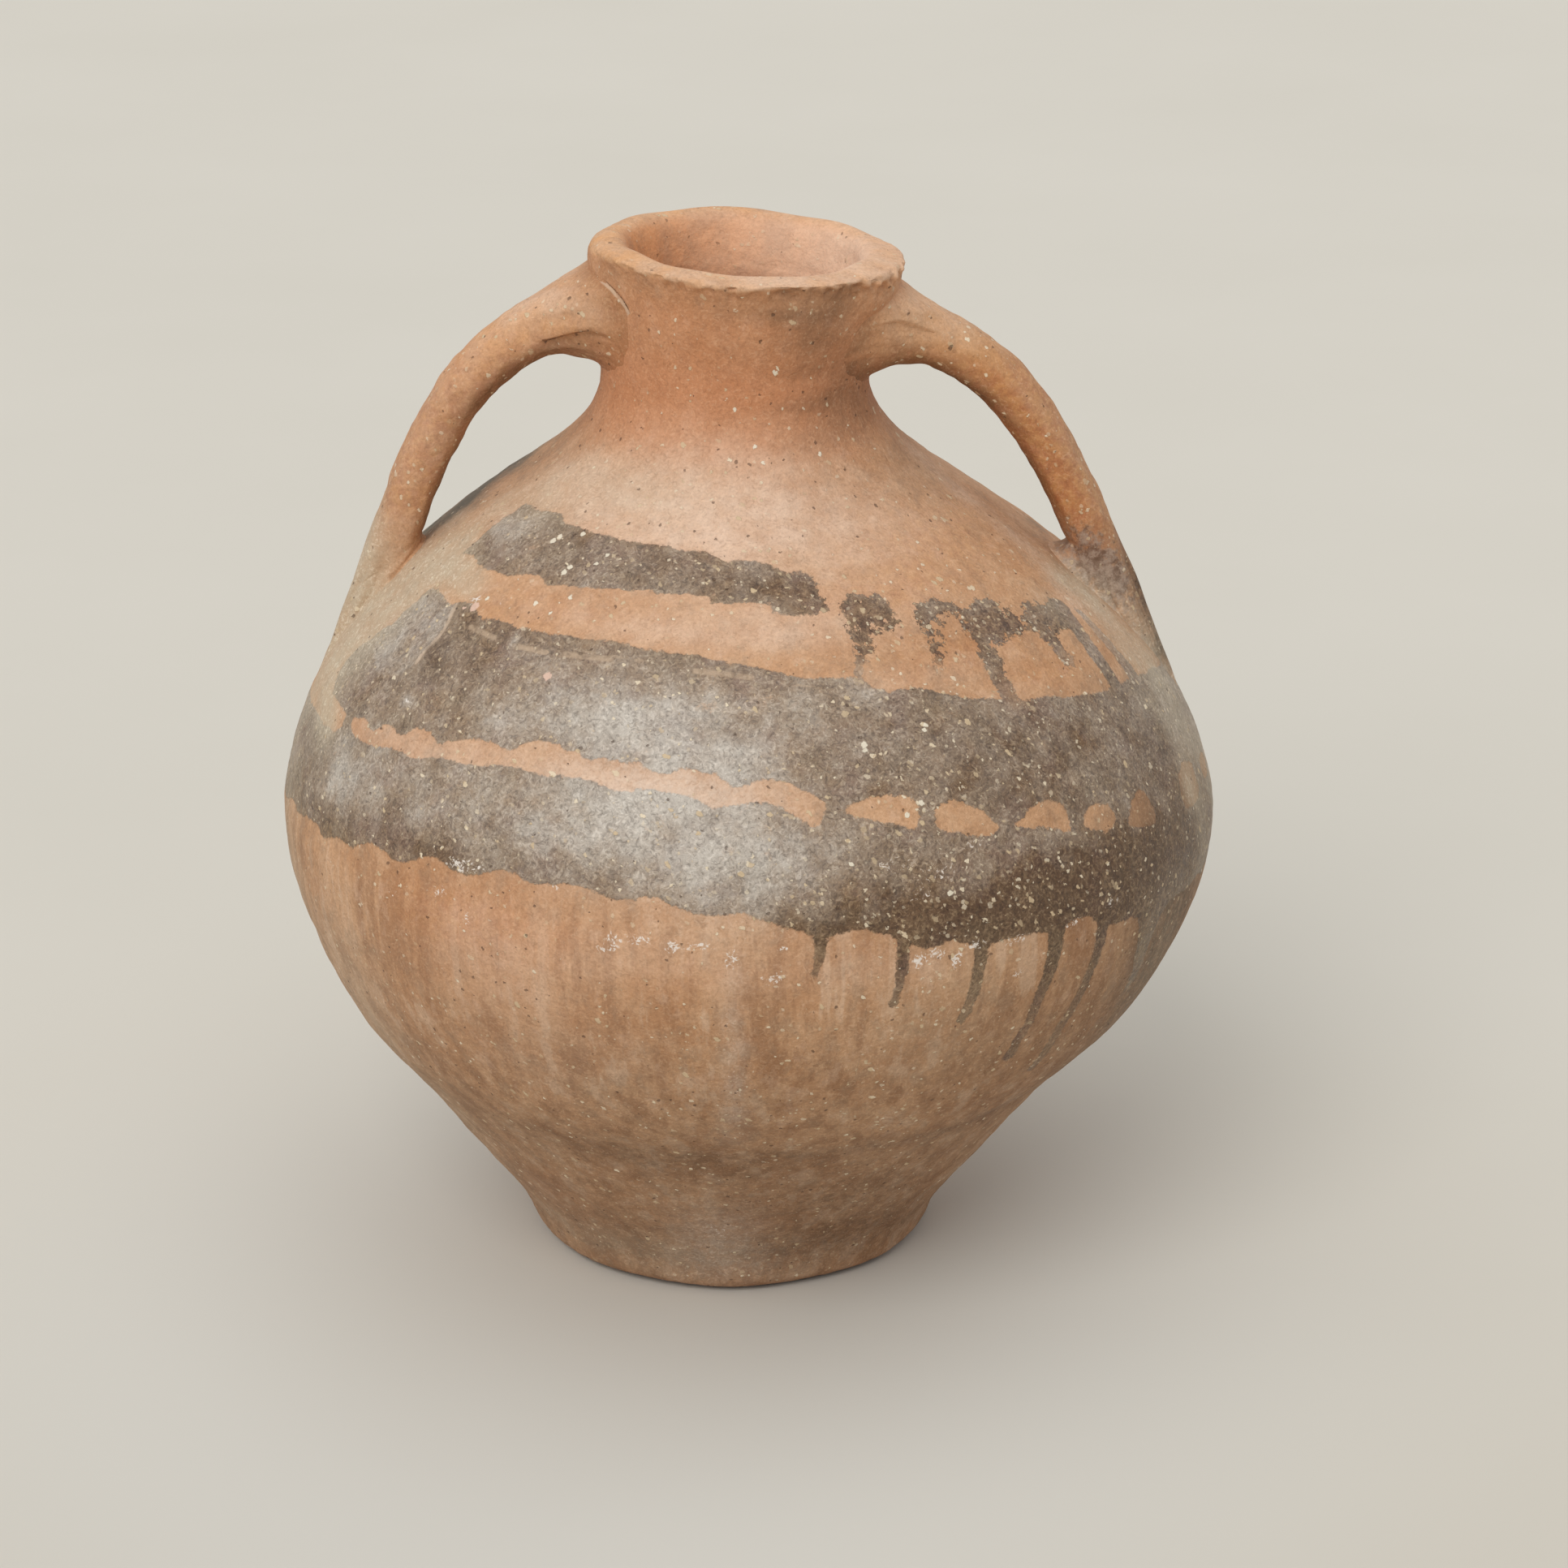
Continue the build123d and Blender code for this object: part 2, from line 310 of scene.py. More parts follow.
RZ2 = RZ + normal2 * bump[..., None]
RZ2[..., 1] = np.where(ZP < 13, np.maximum(RZ2[..., 1], 0), RZ2[..., 1])
RZ2[0, :, 0] = RZ2[-1, :, 0] = 0
lift = lip_mask * (0.55 * rim_wave(TH + 40, row_t[:, None] * 0))
GRID = place(RZ2[..., 0], RZ2[..., 1], TH)
GRID[..., 2] += lift


def grid_normals(p, wrap=True):
    du = np.gradient(p, axis=0)
    if wrap:
        dv = (np.roll(p, -1, 1) - np.roll(p, 1, 1)) / 2
    else:
        dv = np.gradient(p, axis=1)
    return unit(np.cross(dv, du))


NORMAL = grid_normals(GRID)
NORMAL[0] = (0, 0, -1)
NORMAL[-1] = (0, 0, 1)

# ------------------------------------------------------------------ painted bands
# (angle, height) outlines of the dark slip, front side as seen, far side carried on
UPPER_TOP = [(-68, 322), (-66, 338.5), (-64, 339.5), (-60, 339), (-56, 340), (-50, 341), (-47, 339.5),
             (-46, 338.8), (-40, 338.8), (-35, 338.5), (-30, 338.3), (-25, 338), (-20, 337.8), (-15, 338),
             (-12, 336.8), (-8, 337), (-5, 336.5), (-2, 335), (0, 333.5), (3, 334.5), (6, 333.8), (9, 333),
             (11, 331.5), (13, 330), (16, 330.5), (18, 329), (19, 326.5), (19.5, 322), (19.3, 318.5)]
UPPER_BOTTOM = [(16, 317.7), (12, 318), (10, 318.5), (8, 319), (8, 321.5), (4, 322), (0, 321.8), (-3.5, 322),
                (-4, 324), (-8, 324.3), (-12, 324), (-15, 324), (-16, 325), (-20, 324.2), (-24, 324),
                (-28, 323.2), (-32, 323), (-36, 322.3), (-39, 321.5), (-40, 322), (-42, 323.5), (-45, 323),
                (-48, 321.5), (-50, 320.5), (-54, 320.5), (-57, 319.8), (-60, 320), (-64, 321), (-68, 320)]
BLOTCH_A = [(21.5, 320.5), (23, 321), (24, 322.8), (26, 322), (28, 322), (30, 321), (31, 319.5), (31.3, 316),
            (31.5, 312.5), (30.5, 310.6), (28, 310.8), (26, 310.8), (25, 310.5), (24.5, 309), (24, 306),
            (23.3, 303.5), (22.5, 302), (21.5, 300.5), (21, 298.5), (20.2, 297.6), (19.3, 299), (19.8, 301),
            (20.3, 303), (20.8, 306), (21.2, 309), (21.5, 313), (21.3, 317)]
BLOTCH_B = [(35, 312), (35.2, 314.5), (36.5, 316), (38, 316.3), (39.5, 317), (41, 316.8), (42, 315.5),
            (43.5, 314), (45.2, 312.4), (45.2, 310.6), (43, 310.4), (41, 310.2), (40, 309.6), (38.5, 309.5),
            (37.5, 308), (37, 304), (36.2, 301), (35.3, 298), (34.5, 295.6), (33.4, 294.5), (32.9, 295),
            (33.2, 298), (33.8, 301), (34.6, 305), (35.2, 309)]
BLOTCH_C = [(43.5, 312), (45, 311.3), (47, 311.5), (48, 312.3), (50, 312.8), (52, 312.2), (53.5, 311),
            (54.5, 309), (55, 307.5), (55.6, 304), (57, 302.5), (56.5, 298), (55, 299), (53, 297.8),
            (51, 298.5), (49, 298), (47, 298.5), (46.3, 297), (46, 293), (45.3, 290), (45, 287), (44.8, 284),
            (44.7, 278), (41.9, 278), (41.8, 285), (41.8, 289), (42.3, 293), (42.6, 297), (42.8, 302),
            (43.2, 305), (43, 309)]
BLOTCH_D = [(55, 303.5), (57, 302.5), (58.5, 305), (60, 306), (62, 305), (64, 303.5), (66, 302.5), (68, 303),
            (69.5, 301.5), (71, 299), (70, 296), (69.5, 292), (68.5, 287), (68, 281), (67.5, 275), (67.2, 268),
            (64.2, 268), (64.4, 273), (64.6, 278), (64.8, 283), (65.2, 287), (65.3, 292), (65, 293),
            (63, 293.5), (61, 293.8), (60.5, 293.5), (61, 292), (60.8, 288), (60.3, 284), (59, 282.5),
            (57.8, 284), (57.6, 287), (57.8, 291), (57.7, 292), (57.2, 295), (56.5, 298)]
DRIP_F = [(71.5, 296), (73.2, 294), (73.6, 285), (73.8, 275), (74, 264), (70.8, 264), (71, 275), (71.2, 285)]
MIDDLE_TOP = [(-73.5, 280), (-72, 285), (-71, 289), (-69.2, 292), (-69.5, 297), (-68.5, 303), (-67.5, 307),
              (-65, 308), (-62, 307.5), (-58, 306.5), (-56, 308.5), (-53, 309.5), (-50, 308), (-48, 307),
              (-45, 308), (-42, 308.2), (-40, 307.5), (-37, 308), (-34, 307.8), (-30, 308.5), (-25, 308.2),
              (-20, 308.8), (-17, 308), (-14, 307.2), (-10, 306.8), (-6, 306.5), (-3, 305.5), (0, 304.2),
              (3, 303.5), (6, 302.2), (8, 301), (9.5, 300), (12, 299.2), (15, 298.8), (18, 298.2), (19.5, 298),
              (20.5, 297), (22, 294), (24, 292.5), (26, 292.8), (28, 292.5), (30, 291.5), (31, 290.5),
              (33, 288.5), (35, 287), (37, 285.5), (39, 284.5), (41, 283.5), (42, 283), (45, 280.5),
              (48, 279.5), (51, 278), (54, 275.5), (57, 274.5), (60, 272.5), (63, 271.5), (64.5, 271.5),
              (68, 270), (72, 268.5), (76, 266)]
MIDDLE_LEFT = [(-66, 258), (-68, 260.5), (-73, 261), (-74.5, 264), (-75.5, 269), (-75, 274)]
LOWER_BOTTOM = [(-74, 213), (-72.5, 211.5), (-70, 212.5), (-68.5, 214), (-66.5, 214.8), (-65, 215.5),
                (-63.5, 214.3), (-62, 212.3), (-60.5, 214), (-59, 216), (-57.5, 217), (-56, 216.8),
                (-54.5, 216), (-53, 219), (-51.5, 221.5), (-50.3, 222.8), (-48.5, 221.5), (-47.5, 221.5),
                (-46.5, 219.5), (-45, 220), (-43.5, 221), (-42, 223.5), (-40.5, 226), (-39.3, 226.3),
                (-38, 225.5), (-37, 224), (-35.5, 223), (-34, 223), (-32.5, 224.5), (-31, 226.5),
                (-29.5, 228.5), (-28, 228.2), (-26.5, 226.5), (-25, 225.2), (-23.5, 226), (-22, 227),
                (-20.5, 227.5), (-19, 227.3), (-17.5, 226), (-16, 224.5), (-14.5, 224), (-13, 224),
                (-11.5, 225.8), (-10, 226), (-8.5, 224), (-7, 222.3), (-5.5, 220.5), (-3.5, 219.8),
                (-1.5, 220.5), (0, 221), (1, 220), (2.5, 218), (4, 216), (5.5, 214.5), (7, 212.5), (8, 211),
                (9, 210.3), (10, 210.8), (11, 211.5), (12.5, 212.8), (14, 212.5), (15.5, 210.5), (17, 208.8),
                (18, 207), (19, 205), (20, 203.5), (21, 202), (22, 201.8), (23, 203.3), (24.5, 203.5),
                (26, 201.5), (26.8, 199.5), (29.5, 199), (31, 199.5), (33, 199.5), (35, 199), (37, 198),
                (40, 198.5), (42, 199.5), (44, 198), (44.5, 196), (46, 193.5), (47.5, 190.5), (50, 189.6),
                (52.3, 189.2), (53.2, 187), (54, 178), (54.6, 168), (55.2, 158), (55.8, 150), (56.8, 149),
                (57.2, 156), (57.6, 166), (58.3, 176), (59.5, 183), (62, 185.5), (66, 184)]
STRIP = [(-63.3, 258), (-63, 260.5), (-62, 261.5), (-60.5, 262.3), (-59.3, 262.5), (-58.8, 261), (-58.3, 260),
         (-57, 260.5), (-56.2, 263), (-55, 265), (-54, 265.3), (-52.5, 264.2), (-51, 264), (-50.2, 265),
         (-49.8, 267), (-49, 268.5), (-46, 268.5), (-44.8, 267.5), (-44, 266), (-43.2, 266), (-42.5, 267.3),
         (-41, 268.5), (-40, 269.5), (-38.5, 270.5), (-37, 271.2), (-35.5, 271.5), (-34, 271.3), (-33, 270),
         (-32, 270), (-31, 271), (-30.2, 273), (-29.3, 274.5), (-28, 275.5), (-26.5, 275.2), (-25, 275.2),
         (-23.5, 273.5), (-22, 274), (-21, 271.8), (-19.5, 271.5), (-18.5, 273), (-17, 272.5), (-15.5, 272),
         (-13, 272.5), (-12, 270.5), (-10.5, 269.5), (-9, 269), (-7.5, 271.5), (-6, 271.2), (-4.5, 270),
         (-3, 270), (-2, 268.5), (-1, 266.5), (0, 265.5), (1.2, 266), (2, 267.2), (3.5, 268.3), (5, 267.7),
         (6.5, 266.5), (8, 264.5), (9.3, 263), (10.2, 261), (11, 259.2), (11, 258), (10.6, 255), (10, 252),
         (9, 251.3), (8, 253), (7, 255.5), (5.5, 258.5), (4, 260), (2, 260.5), (0, 259.8), (-1.5, 259.5),
         (-3, 258.2), (-4, 259.5), (-5, 261.5), (-7, 262.5), (-9, 263.5), (-11, 264.2), (-12.5, 263.8),
         (-14, 262.8), (-15.5, 262), (-17, 263), (-18.5, 264.3), (-20, 265), (-22, 265.2), (-24, 265),
         (-25.5, 264), (-27, 264.2), (-29, 265), (-31, 265.2), (-33, 264.8), (-35, 263.3), (-36.5, 262.5),
         (-38, 261.8), (-39.5, 261.5), (-41.5, 261.8), (-43.5, 261), (-45, 260), (-46.5, 258.3), (-48, 258),
         (-50, 258.5), (-52, 258.3), (-54, 257), (-55.5, 255.5), (-57, 255.2), (-59, 255.3), (-61, 255),
         (-62.5, 256)]
WINDOWS = [
    STRIP,
    [(-76, 250), (-72, 249.5), (-67, 251), (-65.5, 254), (-65.5, 259), (-68, 260.5), (-73, 261), (-77, 262),
     (-78, 256)],
    [(12.8, 256), (13.2, 255), (15, 253.2), (17, 251.5), (19, 249.8), (20.5, 248), (22, 246.5), (22.7, 249),
     (22.7, 252), (22.9, 255), (22.5, 257), (21, 259), (19, 259.8), (17, 259.5), (15.5, 258.8), (14.3, 258)],
    [(24.6, 247.5), (25.3, 245), (27, 243.5), (28.5, 241.5), (30.5, 240), (32.3, 240), (33.2, 241.5),
     (32.8, 244.5), (31.5, 247.5), (30.5, 250.5), (29, 253.5), (27.5, 255), (26.2, 254), (25, 252.5),
     (24.8, 250)],
    [(35.5, 241), (37.5, 238.8), (39.5, 237.8), (41, 236), (42.5, 233.8), (43.7, 232.8), (43.8, 236),
     (44, 240), (43.8, 243.5), (42.5, 245.5), (40.5, 247), (38.8, 246), (37.3, 243.8), (36, 242)],
    [(46, 232.5), (47, 231), (48.5, 229), (50, 227.5), (51.5, 228.5), (52, 231), (51.8, 234.5), (51.3, 237),
     (50, 238.3), (48.2, 238.8), (47, 237.5), (46.3, 235)],
    [(54, 225), (55.5, 224), (57.5, 221.5), (59.5, 221), (60.2, 225), (60, 229), (59.8, 233), (58.8, 236),
     (57.5, 235.5), (56, 233.5), (55, 230), (54, 228)],
    [(68.5, 217), (71, 215), (74, 214.5), (76, 217), (76, 227), (74.5, 231), (72, 232), (69.5, 230), (68.5, 225)],
]
DRIPS = [  # centre line, width in degrees at its head and tip
    ([(8.7, 213), (8.5, 205), (8.2, 200), (7.8, 196)], 1.6, .8),
    ([(18.3, 209), (18, 196), (17.7, 190), (17.3, 183), (17, 179.5)], 1.5, 1.0),
    ([(28, 203), (27.5, 188), (27, 178), (26.5, 170), (26.2, 166)], 2.0, 1.2),
    ([(38.7, 202), (38, 185), (37.3, 172), (36.8, 160), (36.3, 148), (36, 138)], 2.3, 1.5),
    ([(46.5, 199), (45.5, 180), (44.5, 165), (43.5, 150), (43, 135), (42.5, 125)], 2.1, 1.5),
]


def drip(line, w0, w1):
    p = np.array(line, float)
    k = np.linspace(0, 1, len(p))
    w = (w0 + (w1 - w0) * k) / 2
    w = w * (1 + 0.12 * np.sin(7 * k + p[0, 0]))
    w[-1] *= 1.15
    tip = (p[-1, 0], p[-1, 1] - 2.0)
    return ([(a - d, z) for (a, z), d in zip(p, w)] + [tip]
            + [(a + d, z) for (a, z), d in zip(p[::-1], w[::-1])])


def wiggle(points, seed, amount, step=1.4):
    """Points every step degrees along a far-side edge, with brush scallops."""
    p = np.array(points, float)
    r = np.random.default_rng(seed)
    a = np.arange(p[0, 0], p[-1, 0], step)
    z = spline(p[:, 0], p[:, 1])(a)
    scallop = np.abs(np.sin(np.cumsum(r.uniform(.25, .75, len(a))))) - .6
    z = z + amount * (scallop * 1.3 + r.normal(0, .22, len(a)))
    return [(float(x), float(y)) for x, y in zip(a, z)]


def strip_height(a):
    return np.interp(a, [-76, -66, -40, -25, 0, 11, 28, 40, 58, 72, 90, 140, 180, 220, 250, 284],
                     [254, 257, 265, 268, 263, 256, 247, 240, 229, 223, 215, 203, 208, 225, 240, 254])


middle_back = wiggle([(78, 265), (90, 258), (115, 249), (140, 247), (180, 254), (220, 275), (248, 297)], 31, 1.5)
middle_end = [(251, 297), (254, 290), (256.5, 282), (257.5, 272), (256, 262), (252, 252)]
span = np.arange(252, -66.1, -4.0)
MIDDLE = MIDDLE_TOP + middle_back + middle_end + [(a, float(strip_height(a)) - 5) for a in span] + MIDDLE_LEFT
lower_back = wiggle([(67.5, 183.5), (75, 181), (90, 175), (120, 163), (150, 158), (180, 161), (210, 172),
                     (240, 190), (262, 201), (280, 209), (285, 212.5)], 32, 1.8)
turn = LOWER_BOTTOM + lower_back
lower_edge = turn + [(a + 360, z) for a, z in turn if a + 360 < 410]
lower_edge = [p for p in [(a - 360, z) for a, z in turn if a - 360 > -110] if p[0] < turn[0][0]] + lower_edge
free_top = [(-110, 244), (-104, 241), (-96, 243), (-88, 245.5), (-82, 247.5), (-77, 249.5), (-70, 251), (-66, 256)]
merged = [(a, float(strip_height(a)) + 5) for a in np.arange(-65, 250.1, 3)]
lower_upper = free_top + merged + [(a + 360, z) for a, z in free_top] + [(a, float(strip_height(a - 360)) + 5) for a in np.arange(295, 410, 3)]
LOWER = lower_edge + lower_upper[::-1]
upper_back_top = wiggle([(108, 291), (125, 288), (150, 290), (180, 299), (210, 314), (235, 328), (247, 333)], 33, 1.0)
upper_back_low = wiggle([(108, 276), (125, 272), (150, 273), (180, 282), (210, 298), (235, 312), (247, 318)], 34, 1.0)
UPPER_BACK = upper_back_top + upper_back_low[::-1]

rng = np.random.default_rng(41)
BACK_DRIPS = []
for a in (83, 96, 117, 131, 149, 166, 189, 204, 227, 245):
    z0 = float(np.interp(a, [p[0] for p in turn], [p[1] for p in turn])) + 5
    length = rng.uniform(14, 62)
    lean = rng.uniform(-1.2, .4)
    BACK_DRIPS.append(drip([(a + lean * k, z0 - length * k) for k in (0, .3, .6, .85, 1)],
                           rng.uniform(1.4, 2.2), rng.uniform(.8, 1.2)))
for a in (118, 127, 146, 171, 197, 222):
    z0 = float(np.interp(a, [p[0] for p in upper_back_low], [p[1] for p in upper_back_low])) + 3
    length = rng.uniform(8, 26)
    BACK_DRIPS.append(drip([(a - .8 * k, z0 - length * k) for k in (0, .35, .7, 1)],
                           rng.uniform(1.6, 2.6), rng.uniform(1.0, 1.6)))
a = 80.0
while a < 246:
    w, h = rng.uniform(5.6, 8.2), rng.uniform(4.6, 7.0)
    c = float(strip_height(a + w / 2))
    tilt = float(strip_height(a + w) - strip_height(a))
    ring = []
    for k in np.linspace(0, 2 * np.pi, 18, endpoint=False):
        x = math.copysign(abs(math.cos(k)) ** .7, math.cos(k))
        y = math.copysign(abs(math.sin(k)) ** .8, math.sin(k)) * (1 if math.sin(k) > 0 else .8)
        ring.append((a + w / 2 + x * w / 2 * rng.uniform(.92, 1.05), c + tilt * x / 2 + y * h * rng.uniform(.88, 1.1)))
    WINDOWS.append(ring)
    a += w + rng.uniform(1.8, 3.4)

PAINTED = [UPPER_TOP + UPPER_BOTTOM, BLOTCH_A, BLOTCH_B, BLOTCH_C, BLOTCH_D, DRIP_F, MIDDLE, LOWER, UPPER_BACK]
PAINTED += [drip(*d) for d in DRIPS] + BACK_DRIPS


def inside_by(poly, th, z, far=8.0):
    """Distance in mm from each point to an outline on the wall, positive inside."""
    p = np.array(poly, float)
    out = np.full(th.shape, -far)
    for turn_by in (-360, 0, 360):
        t = th + turn_by
        near = ((t > p[:, 0].min() - 8) & (t < p[:, 0].max() + 8)
                & (z > p[:, 1].min() - 12) & (z < p[:, 1].max() + 12))
        ids = np.flatnonzero(near)
        ps = along(p[:, 1])
        for part in np.array_split(ids, max(1, len(ids) // 6000)):
            if not len(part):
                continue
            k = (np.radians(1) * RADIUS(z[part]))[:, None]
            x0 = (p[None, :, 0] - t[part, None]) * k
            y0 = ps[None, :] - along(z[part])[:, None]
            x1, y1 = np.roll(x0, -1, 1), np.roll(y0, -1, 1)
            dx, dy = x1 - x0, y1 - y0
            q = np.clip(-(x0 * dx + y0 * dy) / np.maximum(dx * dx + dy * dy, 1e-9), 0, 1)
            d = np.sqrt(((x0 + q * dx) ** 2 + (y0 + q * dy) ** 2).min(1))
            cross = ((y0 > 0) != (y1 > 0)) & (x0 + dx * (-y0) / np.where(dy == 0, 1e-9, dy) > 0)
            odd = cross.sum(1) % 2 == 1
            out[part] = np.maximum(out[part], np.clip(np.where(odd, d, -d), -far, far))
    return out


def paint_field(th, z):
    shape = th.shape
    th, z = th.ravel(), z.ravel()
    d = np.full(th.shape, -8.0)
    for poly in PAINTED:
        d = np.maximum(d, inside_by(poly, th, z))
    for poly in WINDOWS:
        d = np.minimum(d, -inside_by(poly, th, z))
    return d.reshape(shape)


# ------------------------------------------------------------------ tone fields
# angle, height, half width and half height in mm, strength
# lime haze, and a painted highlight: the broad blob at -9°, 257 mm and its narrow core at -8.5°, 262 mm stand for the
# light's sheen on the slip
HAZE_AND_HIGHLIGHT = [
    (-61, 237, 18, 10, .30), (-56, 241, 22, 13, .24), (-14, 290, 22, 10, .26), (-8.5, 262, 13, 22, .32), (-9, 257, 48, 34, .70), (-18, 284, 62, 18, .44), (-30, 246, 50, 18, .28), (4, 236, 34, 18, .34), (-2, 222, 20, 12, .22),
    (-62, 331, 14, 8, .40), (-34, 331, 46, 7, .06), (-53.2, 275, 7, 3, .45), (-39, 303, 2.5, 7, .50), (80, 290, 10, 12, .30),
    (-58, 246, 34, 18, .28), (12, 292, 30, 8, .22), (34, 276, 44, 14, .18), (35, 216, 60, 12, .08), (-60, 296, 10, 10, .20),
    (-1.6, 194, 5, 8, .34), (-1.7, 178, 5, 9, .38), (-1.1, 161, 5, 9, .46), (-1.2, 144, 5, 9, .50), (-.8, 127, 6, 9, .44),
    (-1, 112, 8, 8, .24), (-3, 38, 18, 26, .50), (-2, 18, 26, 12, .30),
    (73, 297, 9, 9, .50), (62, 255, 26, 16, .20), (-62, 334, 12, 7, .25),
    (84, 336, 8, 14, .40), (80, 318, 8, 12, .42), (88, 350, 8, 12, .34), (76, 306, 8, 9, .34),
    (150, 262, 60, 20, .35), (-150, 240, 60, 20, .30), (180, 200, 70, 20, .25),
]
DUST = [
    (-77, 272, 12, 14, .90), (-74, 284, 6, 10, .50),
    (-76, 298, 16, 40, .90), (-70, 297, 8, 26, .50), (-72, 252, 12, 9, .90), (-62, 314, 14, 7, .70), (-72, 318, 14, 12, .70),
    (82, 297, 12, 12, .90), (80, 262, 12, 18, .50), (80, 240, 14, 26, .50), (72, 222, 8, 9, .70), (88, 220, 16, 30, .45),
    (-68, 314, 14, 9, .85), (-62, 318, 8, 5, .50), (-74, 256, 14, 8, .90), (-80, 264, 16, 12, .90), (-90, 285, 20, 40, .80),
    (-84, 296, 22, 30, .90), (-76, 308, 14, 18, .75), (-72, 324, 10, 10, .55), (-82, 278, 18, 20, .85),
    (-70, 250, 10, 8, .75), (-98, 300, 30, 30, .85), (-90, 322, 18, 10, .55), (-75, 335, 16, 10, .40),
    (-58, 316, 10, 5, .40), (-85, 252, 20, 12, .60), (-56, 312, 9, 5, .45), (-66, 345, 16, 14, .35),
    (80, 288, 12, 14, .60), (78, 304, 10, 8, .60), (76, 275, 10, 10, .55), (82, 262, 12, 16, .60),
    (92, 275, 16, 30, .55), (72, 262, 10, 12, .35), (66, 303, 10, 8, .30), (74, 244, 10, 16, .40),
    (74, 209, 12, 30, .30), (-86, 225, 14, 30, .40), (-78, 180, 26, 44, .50), (-62, 140, 30, 40, .30),
    (-40, 352, 40, 14, .40), (-58, 340, 20, 12, .30), (86, 185, 20, 50, .30), (62, 160, 26, 40, .25),
    (-60, 80, 30, 40, .25), (-30, 20, 60, 14, .22), (22, 172, 30, 24, .16),
]
# painted shade, dark grey, on the shoulder under and behind each handle, where the bar overhangs it
HANDLE_SHADE = [
    (-92, 316, 14, 10, .40), (-88, 330, 14, 10, .34), (-90, 346, 10, 9, .24), (-84, 357, 8, 6, .16),
    (-100, 310, 16, 10, .80), (-99, 324, 17, 12, .92), (-101, 340, 15, 11, .50), (-97, 354, 12, 8, .32),
    (-112, 330, 24, 26, .95), (114, 325, 26, 26, .34), (101, 310, 12, 10, .50), (99, 296, 8, 8, .45),
]
# brown staining, and painted shade: under the lip's overhang on the right of the neck, over the lower body and the
# right side away from the light, and a dark contact line round the foot's bottom edge
BROWN_AND_SHADE = [
    (25, 427, 12, 5, .28), (38, 428, 10, 6, .28), (64, 170, 24, 70, .45), (0, 40, 300, 44, .10), (15, 425, 9, 4, .26), (33, 413, 12, 6, .30), (52, 390, 16, 16, .40),
    (66, 377, 14, 12, .40), (38, 384, 20, 5, .35), (30, 399, 14, 5, .30), (44, 371, 26, 7, .25), (74, 350, 24, 16, .22),
    (66, 180, 30, 60, .30), (30, 140, 30, 24, .20), (-20, 140, 20, 20, .14),
    (62, 190, 26, 50, .35), (0, 110, 300, 60, .16), (0, 97, 300, 5, .14), (78, 225, 14, 30, .30),
    (27, 421, 14, 6, .34), (38, 424, 11, 7, .36), (17, 424, 9, 4, .26), (30, 411, 14, 8, .26), (2, 426, 14, 3, .25), (0, 1, 600, 1.8, .50), (88, 268, 12, 34, .36), (60, 185, 34, 60, .34), (58, 178, 30, 50, .22), (4, 128, 60, 22, .14), (42, 40, 50, 30, .14),
    (64, 195, 26, 60, .30), (44, 96, 30, 10, .25), (-14, 88, 36, 9, .30), (2, 84, 26, 10, .25),
    (-20, 100, 60, 18, .20), (10, 40, 120, 40, .22), (-55, 110, 40, 40, .16), (52, 110, 50, 50, .25),
    (20, 78, 90, 30, .25), (-40, 84, 70, 30, .10), (45, 130, 60, 40, .22), (10, 96, 60, 9, .20),
    (-30, 20, 80, 20, .30), (30, 24, 70, 22, .40), (22, 60, 40, 14, .25), (70, 170, 40, 60, .25),
    (150, 90, 120, 40, .35), (-130, 90, 120, 40, .35), (180, 30, 120, 25, .35),
    (62, 160, 36, 60, .30), (80, 180, 30, 80, .35),
]
# pale clay, and painted light: the up-facing shoulder front and a highlight on the orange strip near -12°, 262 mm
PALE_AND_LIT = [
    (-2, 345, 75, 28, .45), (-18, 314, 60, 8, .35), (10, 312, 50, 8, .35), (30, 296, 40, 8, .20),
    (-8, 345, 60, 30, .60), (-2, 342, 40, 16, .30), (44, 336, 36, 14, .24), (-14, 261, 50, 8, .50), (-30, 186, 36, 16, .24), (-33, 203, 26, 14, .26), (-46, 40, 30, 26, .14), (14, 318, 60, 14, .30), (-12, 262, 40, 8, .75), (-45, 262, 60, 7, .45),
    (-12, 352, 40, 20, .55), (-4, 345, 26, 10, .35), (20, 345, 30, 14, .25), (-56, 350, 24, 14, .45),
    (-10, 200, 50, 12, .25), (15, 198, 30, 10, .25), (-25, 150, 40, 26, .18), (-60, 150, 40, 50, .18),
    (-25, 268, 80, 5, .25), (150, 345, 50, 20, .35),
]
RED = [
    (0, 392, 400, 22, .85), (-20, 372, 60, 10, .3), (40, 372, 60, 12, .25), (-30, 205, 50, 18, .28), (0, 2, 400, 4, .45),
    (0, 420, 400, 16, .55), (-30, 175, 50, 20, .18), (150, 385, 400, 24, .6),
]
WARM = [
    (50, 332, 46, 20, .40), (34, 318, 40, 9, .30), (42, 300, 44, 9, .30), (-44, 312, 36, 8, .25), (-34, 206, 34, 14, .30), (-8, 196, 24, 10, .20), (8, 322, 60, 6, .16), (-30, 316, 40, 6, .22),
    (20, 352, 30, 12, .20), (-34, 200, 40, 12, .20), (14, 205, 24, 8, .20), (52, 285, 26, 8, .25), (150, 330, 80, 24, .30),
]
